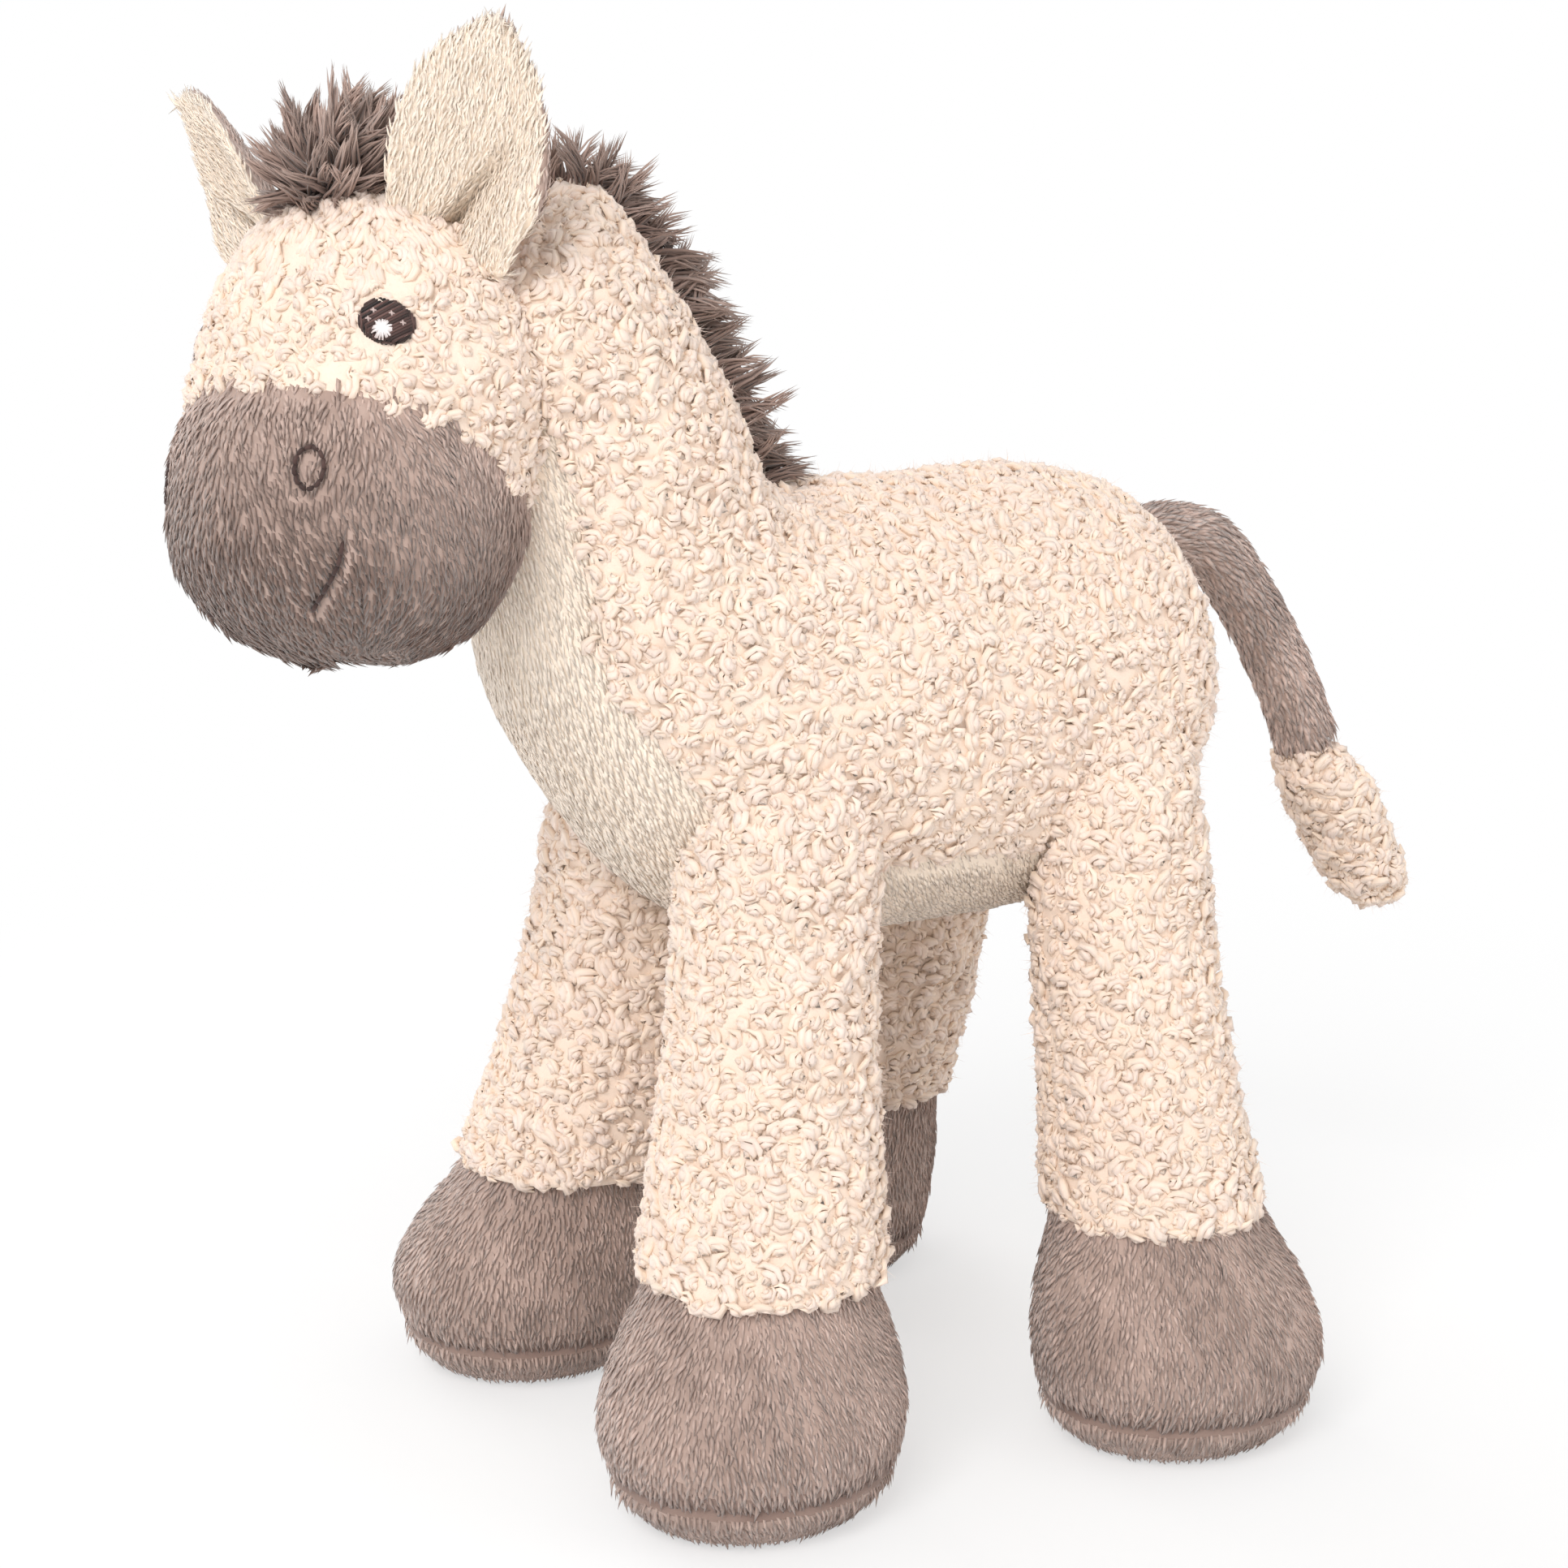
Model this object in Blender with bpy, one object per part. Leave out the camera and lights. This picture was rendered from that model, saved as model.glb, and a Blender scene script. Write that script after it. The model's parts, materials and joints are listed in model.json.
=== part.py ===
"""A standing plush horse: sewn covers over fibre filling, with soft hinges at neck, legs, ears and tail.

The horse faces -Y, its left side is +X and +Z is up. The origin lies on the floor under its middle.
Every soft form is a loft through rings. A cover, the filling inside it and the room that a neighbour
needs to move are all read from the same loft at different depths, so they follow every size together.
"""

import math
from dataclasses import dataclass

import bpy
import numpy as np
from mathutils import Matrix, Vector

# How far the middle of the whole toy, muzzle to tail, lies behind the middle of the trunk
STAND_Y = 0.0187

# Trunk and neck
BODY_LENGTH = 0.165
BACK_HEIGHT = 0.190
BODY_HALF_WIDTH = 0.043
GUSSET_ANGLE = math.radians(56)

# Head, measured in its own upright frame before it is turned
HEAD_LENGTH = 0.089
HEAD_HALF_WIDTH = 0.0355
HEAD_HALF_DEPTH = 0.0335
CROWN_Y = -0.0735
CROWN_Z = 0.2455
HEAD_TILT = math.radians(20.5)
SEAM_TILT = math.radians(25)
HEAD_TURN = math.radians(18)
HEAD_ROLL = math.radians(8)
HEAD_MIDDLE_Y = -0.090
HEAD_MIDDLE_Z = 0.205
HEAD_AXLE_Y = -0.062
HEAD_AXLE_Z = 0.224
NOD_DOWN = math.radians(4)
NOD_UP = math.radians(12)

# Legs
LEG_HEIGHT = 0.125
FRONT_SLEEVE_RADIUS = 0.0235
HIND_SLEEVE_RADIUS = 0.0217
HEM_SHARE = 0.372
HEM_HEIGHT = HEM_SHARE * LEG_HEIGHT
HOOF_HALF_WIDTH = 0.028
HOOF_HALF_LENGTH = 0.0305
HOOF_SHARE = 0.384
HOOF_HEIGHT = HOOF_SHARE * LEG_HEIGHT
SOLE_HEIGHT = 0.0095
HIP_HEIGHT = 0.114
SWING_OUT = math.radians(18)
SWING_IN = math.radians(6)

FRONT_HIP_X = 0.028
FRONT_HIP_Y = -0.018
HIND_HIP_X = 0.034
HIND_HIP_Y = 0.058
FRONT_LEFT_FOOT_X = 0.046
FRONT_LEFT_FOOT_Y = -0.0335
FRONT_RIGHT_FOOT_X = 0.042
FRONT_RIGHT_FOOT_Y = -0.038
HIND_FOOT_X = 0.058
HIND_LEFT_FOOT_Y = 0.0585
HIND_RIGHT_FOOT_Y = 0.039

# Tail
TAIL_RADIUS = 0.0068
TAIL_LENGTH = 0.055
TAIL_ROOT_SHARE = 0.512
TAIL_ROOT_Y = TAIL_ROOT_SHARE * BODY_LENGTH
TAIL_ROOT_Z = 0.171
TUFT_RADIUS = 0.0098
TUFT_LENGTH = 0.041
TAIL_DOWN = math.radians(20)
TAIL_UP = math.radians(30)

# Ears
EAR_LENGTH = 0.0448
EAR_HALF_WIDTH = 0.014
EAR_CUP = 0.006
EAR_WALL = 0.002
EAR_LEAN = math.radians(33)
EAR_FORWARD = math.radians(8)
EAR_FACING = math.radians(26)
EAR_FOLD = math.radians(14)
EAR_BASE_X = 0.0235
EAR_BASE_Y = -0.081
EAR_BASE_Z = 0.2375

# Fabric, filling and stitches
COVER_INSET = 0.0015
COVER_WALL = 0.0022
SEAM_GAP = 0.0003
FILL_GAP = 0.0009
MOVING_GAP = 0.0005
HIP_GAP = 0.0009
EYE_HALF_WIDTH = 0.0053
EYE_HALF_HEIGHT = 0.0046
EYE_THICKNESS = 0.0012
GLINT_RADIUS = 0.0016
GLINT_THICKNESS = 0.0006
THREAD_RADIUS = 0.0005
NOSTRIL_HALF_WIDTH = 0.0028
NOSTRIL_HALF_HEIGHT = 0.0041

# Long pile
MANE_HALF_WIDTH = 0.0065
MANE_HEIGHT = 0.006
FORELOCK_RADIUS = 0.0145
FORELOCK_HEIGHT = 0.025

# Step along a form's rows and angles that its outward direction is measured over
STEP_SHARE = 0.002
# Share rows. Trunk: back y, back z, belly y, belly z, half width, as shares of length, height and width
TRUNK_SHARES = (
    (0.560, 0.782, 0.560, 0.782, 0.0),
    (0.537, 0.888, 0.543, 0.665, 0.51),
    (0.470, 0.968, 0.476, 0.578, 0.81),
    (0.333, 1.000, 0.339, 0.526, 0.95),
    (0.152, 0.997, 0.152, 0.518, 1.00),
    (0.018, 1.000, -0.065, 0.526, 0.99),
    (-0.034, 1.003, -0.190, 0.578, 0.95),
    (-0.056, 1.012, -0.290, 0.672, 0.88),
    (-0.076, 1.040, -0.368, 0.785, 0.80),
    (-0.105, 1.105, -0.400, 0.888, 0.73),
    (-0.164, 1.195, -0.430, 0.984, 0.68),
    (-0.240, 1.285, -0.475, 1.085, 0.62),
    (-0.290, 1.305, -0.485, 1.160, 0.45),
    (-0.418, 1.250, -0.418, 1.250, 0.0),
)
# Half angle of the belly gusset from rump to throat, as shares of its full angle
GUSSET_SHARES = (0.35, 0.45, 0.62, 0.9, 1.0, 1.0, 1.0, 1.0, 1.0, 1.02, 1.15, 1.3, 1.3, 1.3)
# Head: place along its axis, half width, half depth, how far the ring is set back
HEAD_SHARES = (
    (0.0, 0.0, 0.0, 0.0),
    (0.03, 0.36, 0.36, 0.01),
    (0.10, 0.66, 0.64, 0.03),
    (0.20, 0.86, 0.83, 0.05),
    (0.33, 0.975, 0.94, 0.08),
    (0.44, 0.995, 0.965, 0.07),
    (0.53, 0.975, 0.97, 0.03),
    (0.635, 0.985, 0.99, 0.0),
    (0.74, 0.96, 0.965, 0.0),
    (0.86, 0.85, 0.86, 0.0),
    (0.945, 0.60, 0.61, 0.0),
    (0.985, 0.30, 0.31, 0.0),
    (1.0, 0.0, 0.0, 0.0),
)
MUZZLE_SEAM_ROW = 6
# Leg sleeve: height above the floor, share of the way from hip to foot, radius
SLEEVE_SHARES = (
    (1.06, -0.10, 0.70),
    (0.95, 0.0, 0.80),
    (0.82, 0.10, 0.82),
    (0.68, 0.24, 0.85),
    (0.54, 0.40, 0.91),
    (0.42, 0.56, 0.98),
    (0.37, 0.64, 1.0),
)
# Hoof: height as a share of its own, share of the way to the foot, half width, half length
HOOF_SHARES = (
    (1.0, 0.64, 0.73, 0.68),
    (0.86, 0.74, 0.80, 0.77),
    (0.64, 0.89, 0.93, 0.92),
    (0.42, 1.0, 1.0, 1.0),
    (0.205, 1.0, 0.95, 0.95),
    (0.10, 1.0, 0.86, 0.87),
    (0.025, 1.0, 0.73, 0.75),
    (-0.02, 1.0, 0.55, 0.57),
    (-0.02, 1.0, 0.0, 0.0),
)
SOLE_ROW = 4
# Tail: y and z past its root, radius. The tuft follows with its own length and radius
TAIL_SHARES = (
    (-0.16, 0.02, 0.72),
    (0.12, 0.065, 0.85),
    (0.37, 0.0, 1.0),
    (0.60, -0.26, 1.02),
    (0.79, -0.56, 1.03),
    (0.92, -0.84, 1.05),
)
TUFT_SHARES = (
    (0.0, 0.0, 0.0),
    (0.03, -0.06, 0.66),
    (0.13, -0.24, 1.0),
    (0.28, -0.50, 1.03),
    (0.43, -0.76, 0.86),
    (0.53, -0.94, 0.48),
    (0.56, -1.0, 0.0),
)
# Ear: share along its length, half width, share of the cup
EAR_SHARES = (
    (0.0, 0.62, 1.5),
    (0.14, 0.80, 1.25),
    (0.32, 0.96, 1.0),
    (0.50, 1.0, 0.8),
    (0.68, 0.90, 0.6),
    (0.84, 0.64, 0.4),
    (0.95, 0.32, 0.2),
    (1.0, 0.10, 0.1),
)
# Mane height from withers to poll
MANE_SHARES = (0.5, 0.8, 0.9, 1.0, 1.0, 1.1, 1.4, 1.7)
MANE_ROWS_SHARES = (0.48, 0.885)
# Stitches on the head: ring place along the loft and angle from the front, in shares of a half turn
EYE_SHARES = (4.45, 0.27)
NOSTRIL_SHARES = (7.55, 0.205)
MOUTH_SHARES = ((8.6, 0.288), (8.85, 0.283), (9.25, 0.265), (9.75, 0.24))
GLINT_SHARES = (0.1, 0.12)
FORELOCK_FORWARD_SHARE = 1.05
FORELOCK_SINK_SHARE = 0.25
FORELOCK_SHARES = (0.15, 0.45, 0.75, 0.95, 1.0, 0.93, 0.7, 0.36, 0.0)
DOME_SHARES = (0.0, 0.14, 0.30, 0.46, 0.62, 0.76, 0.88, 0.965, 1.0)


@dataclass(frozen=True)
class Leg:
    """Where one leg leaves the trunk and where its hoof stands, in metres on the floor plan."""

    name: str
    hip: tuple
    foot: tuple
    fore: bool


@dataclass(frozen=True)
class Ear:
    """One ear, on the side of the head where side times X points."""

    name: str
    side: int


LEGS = (
    Leg("front_left", (FRONT_HIP_X, FRONT_HIP_Y), (FRONT_LEFT_FOOT_X, FRONT_LEFT_FOOT_Y), True),
    Leg("front_right", (-FRONT_HIP_X, FRONT_HIP_Y), (-FRONT_RIGHT_FOOT_X, FRONT_RIGHT_FOOT_Y), True),
    Leg("hind_left", (HIND_HIP_X, HIND_HIP_Y), (HIND_FOOT_X, HIND_LEFT_FOOT_Y), False),
    Leg("hind_right", (-HIND_HIP_X, HIND_HIP_Y), (-HIND_FOOT_X, HIND_RIGHT_FOOT_Y), False),
)
EARS = (Ear("left", 1), Ear("right", -1))
ACROSS = Vector((1, 0, 0))
LEG_TURNS = 16


def material(name, colour, roughness):
    """A plain fabric colour."""
    made = bpy.data.materials.new(name)
    made.use_nodes = True
    shader = made.node_tree.nodes["Principled BSDF"]
    shader.inputs["Base Color"].default_value = (*colour, 1.0)
    shader.inputs["Roughness"].default_value = roughness
    shader.inputs["Metallic"].default_value = 0.0
    return made


class Loft:
    """A soft form through rings. A row is its centre, its half width vector and its half depth vector."""

    def __init__(self, rows, round_start=True, round_end=True):
        rows = [np.array(row, dtype=float) for row in rows]
        self.count = len(rows)
        first = rows[1].copy() if round_start else 2 * rows[0] - rows[1]
        last = rows[-2].copy() if round_end else 2 * rows[-1] - rows[-2]
        if round_start:
            first[1:] *= -1
        if round_end:
            last[1:] *= -1
        self.rows = np.array([first, *rows, last])

    def ring(self, place):
        """Centre, width and depth vectors at a place along the rows, on a smooth curve through them."""
        low = min(int(place), self.count - 2)
        part = place - low
        a, b, c, d = self.rows[low : low + 4]
        return 0.5 * (
            2 * b
            + (c - a) * part
            + (2 * a - 5 * b + 4 * c - d) * part**2
            + (3 * b - a - 3 * c + d) * part**3
        )

    def is_point(self, place):
        """Whether the form comes to a point there."""
        return np.allclose(self.ring(place)[1:], 0)

    def raw(self, place, angle):
        """A point of the form itself. Angle 0 is against the depth vector, a quarter turn is across."""
        centre, across, deep = self.ring(place)
        return centre + across * math.sin(angle) - deep * math.cos(angle)

    def normal(self, place, angle):
        """The outward direction there. At a closed end it runs along the form."""
        step = STEP_SHARE
        near = min(max(place, 2 * step), self.count - 1 - 2 * step)
        along = self.raw(near + step, angle) - self.raw(near - step, angle)
        if self.is_point(place):
            spine = self.ring(near + step)[0] - self.ring(near - step)[0]
            return spine / np.linalg.norm(spine) * (1 if near > 1 else -1)
        around = self.raw(near, angle + step) - self.raw(near, angle - step)
        out = np.cross(around, along)
        if np.dot(out, self.raw(near, angle) - self.ring(near)[0]) < 0:
            out = -out
        return out / np.linalg.norm(out)

    def point(self, place, angle, grow):
        """A point that lies grow outside the form."""
        return self.raw(place, angle) + self.normal(place, angle) * grow


def even(low, high, count):
    """Places from low to high, with both ends."""
    return [low + (high - low) * i / count for i in range(count + 1)]


# Places along the rows where the rings of the trunk, its panels, the upper head and a sole are set
TRUNK_PLACES = (0, *even(0.4, 12.6, 25), 13)
PANEL_PLACES = (0.12, *even(0.5, 11.6, 27))
CROWN_PLACES = (0, 0.4, *even(1, 8, 12))
SOLE_PLACES = (SOLE_ROW, 4.6, 5.3, 6, 6.6, 7.1, 7.5, 8)


def put(name, verts, faces, finish, frame=None):
    """A named object from points and faces, smooth, with its normals outward and its own material."""
    mesh = bpy.data.meshes.new(name)
    mesh.from_pydata([tuple(v) for v in verts], [], faces)
    mesh.update()
    if frame is not None:
        mesh.transform(frame)
    volume = sum(
        mesh.vertices[p.vertices[0]].co.dot(
            mesh.vertices[p.vertices[i]].co.cross(mesh.vertices[p.vertices[i + 1]].co)
        )
        for p in mesh.polygons
        for i in range(1, len(p.vertices) - 1)
    )
    if volume < 0:
        mesh.flip_normals()
    mesh.shade_smooth()
    mesh.set_sharp_from_angle(angle=math.radians(50))
    made = bpy.data.objects.new(name, mesh)
    bpy.context.scene.collection.objects.link(made)
    if finish is not None:
        made.data.materials.append(finish)
    return made


def skin_faces(rows, turns, closed, start=0):
    """Quads over a grid of rows by turns points. A closed grid joins its last turn to its first."""
    faces = []
    for i in range(rows - 1):
        for j in range(turns if closed else turns - 1):
            k = (j + 1) % turns
            a = start + i * turns
            b = a + turns
            faces.append((a + j, a + k, b + k, b + j))
    return faces


def above(verts, floor):
    """The same points, with those below a height set level on it."""
    return [(x, y, max(z, floor)) for x, y, z in verts]


def solid(loft, places, turns, grow, floor=None):
    """Points and faces of the whole form at one depth, with a point or a flat cap at each end."""
    verts = []
    faces = []
    rings = []
    for place in places:
        if loft.is_point(place):
            rings.append([len(verts)])
            verts.append(loft.point(place, 0, grow))
            continue
        rings.append(list(range(len(verts), len(verts) + turns)))
        verts += [loft.point(place, 2 * math.pi * j / turns, grow) for j in range(turns)]
    for low, high in zip(rings, rings[1:]):
        for j in range(turns):
            k = (j + 1) % turns
            if len(low) == 1:
                faces.append((low[0], high[k], high[j]))
            elif len(high) == 1:
                faces.append((low[j], low[k], high[0]))
            else:
                faces.append((low[j], low[k], high[k], high[j]))
    if len(rings[0]) > 1:
        faces.append(tuple(reversed(rings[0])))
    if len(rings[-1]) > 1:
        faces.append(tuple(rings[-1]))
    if floor is not None:
        verts = above(verts, floor)
    return verts, faces


def level(loft, place, turns, grow, floor=None):
    """One ring of points of the form at one depth, kept above a floor."""
    ring = [loft.point(place, 2 * math.pi * j / turns, grow) for j in range(turns)]
    return ring if floor is None else above(ring, floor)


def stack(rings):
    """Points and faces of a solid through rings, flat at both ends."""
    turns = len(rings[0])
    verts = [point for ring in rings for point in ring]
    faces = skin_faces(len(rings), turns, True)
    faces.append(tuple(reversed(range(turns))))
    faces.append(tuple(range(len(verts) - turns, len(verts))))
    return verts, faces


def tube_shell(loft, places, turns, outer, wall, floor=None):
    """A cover all round the form, open where its end ring is open and closed over a point."""
    sides = []
    for grow, level in ((outer, floor), (outer - wall, None if floor is None else floor + wall)):
        verts, faces = solid(loft, places, turns, grow, level)
        sides.append((verts, [f for f in faces if len(f) <= 4]))
    count = len(sides[0][0])
    verts = sides[0][0] + sides[1][0]
    faces = sides[0][1] + [tuple(count + v for v in reversed(f)) for f in sides[1][1]]
    for place, first in ((places[0], 0), (places[-1], count - turns)):
        if loft.is_point(place):
            continue
        for j in range(turns):
            k = (j + 1) % turns
            edge = (first + j, first + k, count + first + k, count + first + j)
            faces.append(edge if first else tuple(reversed(edge)))
    return verts, faces


def slab(outer, inner, rows, turns):
    """A closed panel between two grids of points, walled all round its edge."""
    count = rows * turns
    faces = skin_faces(rows, turns, False)
    faces += [tuple(reversed(f)) for f in skin_faces(rows, turns, False, count)]
    edge = list(range(turns))
    edge += [i * turns + turns - 1 for i in range(1, rows)]
    edge += [(rows - 1) * turns + j for j in range(turns - 2, -1, -1)]
    edge += [i * turns for i in range(rows - 2, 0, -1)]
    for a, b in zip(edge, edge[1:] + edge[:1]):
        faces.append((b, a, a + count, b + count))
    return list(outer) + list(inner), faces


def panel(loft, places, spans, turns, outer, wall):
    """A sewn panel: at each place it covers its own span of angles, between two depths."""
    grids = []
    for grow in (outer, outer - wall):
        grid = []
        for place, (low, high) in zip(places, spans):
            grid += [loft.point(place, angle, grow) for angle in even(low, high, turns)]
        grids.append(grid)
    return slab(grids[0], grids[1], len(places), turns + 1)


def patch(loft, place, angle, half_rows, half_angle, bottom, top, rings=3, turns=16):
    """A round patch of stitches on the form, from its bottom depth to its top depth."""
    verts = []
    faces = []
    for grow in (bottom, top):
        verts.append(loft.point(place, angle, grow))
        for ring in range(1, rings + 1):
            share = ring / rings
            for j in range(turns):
                turn = 2 * math.pi * j / turns
                row = place + half_rows * share * math.cos(turn)
                across = angle + half_angle * share * math.sin(turn)
                verts.append(loft.point(row, across, grow))
    count = 1 + rings * turns
    for start in (0, count):
        for j in range(turns):
            k = (j + 1) % turns
            fan = [(start, start + 1 + j, start + 1 + k)]
            for ring in range(rings - 1):
                a = start + 1 + ring * turns
                fan.append((a + j, a + turns + j, a + turns + k, a + k))
            faces += fan if start else [tuple(reversed(f)) for f in fan]
    rim = 1 + (rings - 1) * turns
    for j in range(turns):
        k = (j + 1) % turns
        faces.append((rim + j, rim + k, count + rim + k, count + rim + j))
    return verts, faces


def thread(centres, radius, closed, sides=6):
    """A stitched thread through points, closed in a loop or capped at both ends."""
    centres = [Vector(c) for c in centres]
    verts = []
    count = len(centres)
    for i, centre in enumerate(centres):
        after = centres[(i + 1) % count] if closed else centres[min(i + 1, count - 1)]
        before = centres[i - 1] if closed else centres[max(i - 1, 0)]
        along = (after - before).normalized()
        across = along.orthogonal().normalized() if i == 0 else across
        across = (across - along * across.dot(along)).normalized()
        up = along.cross(across)
        for j in range(sides):
            turn = 2 * math.pi * j / sides
            verts.append(centre + (across * math.cos(turn) + up * math.sin(turn)) * radius)
    faces = skin_faces(count, sides, True)
    if closed:
        start = min(
            range(sides),
            key=lambda shift: sum(
                (verts[(count - 1) * sides + j] - verts[(j + shift) % sides]).length for j in range(sides)
            ),
        )
        last = (count - 1) * sides
        for j in range(sides):
            k = (j + 1) % sides
            faces.append((last + j, last + k, (k + start) % sides, (j + start) % sides))
    else:
        faces.append(tuple(reversed(range(sides))))
        faces.append(tuple((count - 1) * sides + j for j in range(sides)))
    return verts, faces


def turned(angle, axle, axis):
    """A turn about a direction through a point."""
    return Matrix.Translation(axle) @ Matrix.Rotation(angle, 4, axis) @ Matrix.Translation(-axle)


class Horse:
    """The plush horse, built sub-assembly by sub-assembly."""

    def __init__(self):
        self.sherpa = material("cream_sherpa", (0.86, 0.74, 0.60), 0.95)
        self.minky = material("cream_minky", (0.76, 0.66, 0.54), 0.9)
        self.taupe = material("taupe_minky", (0.30, 0.22, 0.19), 0.9)
        self.pile = material("taupe_long_pile", (0.25, 0.18, 0.16), 0.9)
        self.fibre = material("fibre_filling", (0.85, 0.85, 0.83), 1.0)
        self.dark = material("dark_thread", (0.05, 0.025, 0.02), 0.5)
        self.white = material("white_thread", (0.85, 0.83, 0.80), 0.5)
        self.stand = bpy.data.objects.new("stand", None)
        bpy.context.scene.collection.objects.link(self.stand)
        self.stand.location = (0, -STAND_Y, 0)
        self.trunk = self.trunk_loft()
        self.head_axle = Vector((0, HEAD_AXLE_Y, HEAD_AXLE_Z))
        self.head = self.head_loft()
        self.head_frame = self.turn_frame()
        self.empties = {}

    def trunk_loft(self):
        """The trunk and neck, one form from rump to poll, through pairs of back and belly points."""
        rows = []
        for back_y, back_z, belly_y, belly_z, wide in TRUNK_SHARES:
            back = np.array((0, back_y * BODY_LENGTH, back_z * BACK_HEIGHT))
            belly = np.array((0, belly_y * BODY_LENGTH, belly_z * BACK_HEIGHT))
            rows.append(((back + belly) / 2, (wide * BODY_HALF_WIDTH, 0, 0), (belly - back) / 2))
        return Loft(rows)

    def head_loft(self):
        """The head from crown to chin, upright before it is turned. Angle 0 is its front."""
        rows = []
        for along, wide, deep, set_back in HEAD_SHARES:
            drop = along * HEAD_LENGTH
            y = CROWN_Y - drop * math.sin(HEAD_TILT) + set_back * HEAD_HALF_DEPTH
            centre = (0, y, CROWN_Z - drop * math.cos(HEAD_TILT))
            depth = deep * HEAD_HALF_DEPTH
            back = (0, depth * math.cos(SEAM_TILT), -depth * math.sin(SEAM_TILT))
            rows.append((centre, (wide * HEAD_HALF_WIDTH, 0, 0), back))
        return Loft(rows)

    def turn_frame(self):
        """The head looks a little to the horse's left and leans to its right."""
        middle = Vector((0, HEAD_MIDDLE_Y, HEAD_MIDDLE_Z))
        lean = Matrix.Rotation(HEAD_TURN, 4, "Z") @ Matrix.Rotation(-HEAD_ROLL, 4, "Y")
        return Matrix.Translation(middle) @ lean @ Matrix.Translation(-middle)

    def pivot(self, name, place):
        """An empty on a joint's axle, which its pieces hang from."""
        made = bpy.data.objects.new(name, None)
        bpy.context.scene.collection.objects.link(made)
        made.location = place
        made.parent = self.stand
        made.empty_display_size = SOLE_HEIGHT
        self.empties[name] = made
        return made

    def hang(self, piece, pivot):
        """Parent a piece to an axle's empty, where it is."""
        piece.parent = self.empties[pivot]
        piece.matrix_parent_inverse = Matrix.Translation(-self.empties[pivot].location)

    def fix(self, piece):
        """Parent a piece of the trunk, or a guide, to the stand."""
        piece.parent = self.stand
        return piece

    def cutter(self, name, shape, frame=None):
        """A hidden guide that other pieces are cut by."""
        made = put(name, *shape, None, frame)
        made.hide_render = True
        made.display_type = "WIRE"
        return self.fix(made)

    def cut(self, piece, cutters):
        """Cut a piece by hidden guides."""
        for i, cutter in enumerate(cutters):
            step = piece.modifiers.new(f"room_{i}", "BOOLEAN")
            step.operation = "DIFFERENCE"
            step.solver = "EXACT"
            step.object = cutter

    def swept(self, name, shape, axle, angles, frame=None, axis=ACROSS):
        """The same guide at rest and at both ends of a joint's travel."""
        made = []
        for i, angle in enumerate(angles):
            place = turned(angle, axle, axis)
            made.append(self.cutter(f"{name}_{i}", shape, place @ frame if frame else place))
        return made

    def trunk_pieces(self):
        """Side panels, belly gusset and filling of the trunk and neck."""
        loft = self.trunk
        gusset = []
        left = []
        right = []
        for place in PANEL_PLACES:
            low = min(int(place), len(GUSSET_SHARES) - 2)
            part = place - low
            share = GUSSET_SHARES[low] * (1 - part) + GUSSET_SHARES[low + 1] * part
            half = GUSSET_ANGLE * share
            _, across, deep = loft.ring(place)
            reach = min(np.linalg.norm(across), np.linalg.norm(deep)) - COVER_INSET - COVER_WALL
            gap = SEAM_GAP / max(reach, SEAM_GAP)
            gusset.append((math.pi - half + gap, math.pi + half - gap))
            left.append((gap / 2, math.pi - half))
            right.append((math.pi + half, 2 * math.pi - gap / 2))
        sides = ((left, "left"), (right, "right"))
        for spans, side in sides:
            shape = panel(loft, PANEL_PLACES, spans, 8, -COVER_INSET, COVER_WALL)
            self.fix(put(f"side_panel_{side}", *shape, self.sherpa))
        shape = panel(loft, PANEL_PLACES, gusset, 6, -COVER_INSET, COVER_WALL)
        self.fix(put("belly_gusset", *shape, self.minky))
        inner = -COVER_INSET - COVER_WALL - FILL_GAP
        shape = solid(loft, TRUNK_PLACES, 16, inner)
        self.fix(put("body_filling", *shape, self.fibre))

    def trunk_room(self, name, axle, angles, gap=MOVING_GAP):
        """The space that the trunk and neck sweep past a limb, as guides for cutting it."""
        shape = solid(self.trunk, TRUNK_PLACES, 24, -COVER_INSET + gap)
        return self.swept(name, shape, axle, angles)

    def crown(self, grow):
        """The upper head at one depth, for cutting what sits on it."""
        return solid(self.head, CROWN_PLACES, 24, grow)

    def head_pieces(self):
        """Head cover, muzzle cover, filling, eyes, nostrils and mouth."""
        loft = self.head
        self.pivot("head_axle", self.head_axle)
        room = self.trunk_room("neck_room", self.head_axle, (-NOD_DOWN, 0, NOD_UP))
        seam = MUZZLE_SEAM_ROW
        made = []
        cover = tube_shell(loft, [0, 0.35, 1, 1.6, 2.3, 3, 3.8, 4.6, 5.3, seam], 20, -COVER_INSET, COVER_WALL)
        made.append(put("head_cover", *cover, self.sherpa, self.head_frame))
        ring = np.linalg.norm(loft.ring(seam)[0] - loft.ring(seam + 1)[0])
        start = seam + SEAM_GAP / ring
        places = [start, 6.7, 7.4, 8.1, 8.8, 9.5, 10.2, 10.9, 11.5, 12]
        muzzle = tube_shell(loft, places, 20, -COVER_INSET, COVER_WALL)
        made.append(put("muzzle_cover", *muzzle, self.taupe, self.head_frame))
        inner = -COVER_INSET - COVER_WALL - FILL_GAP
        fill = solid(loft, [0, 0.4] + even(1, 11, 13) + [11.5, 12], 18, inner)
        made.append(put("head_filling", *fill, self.fibre, self.head_frame))
        for piece in made:
            self.cut(piece, room)
        made += self.face_stitches()
        for piece in made:
            self.hang(piece, "head_axle")

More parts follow.
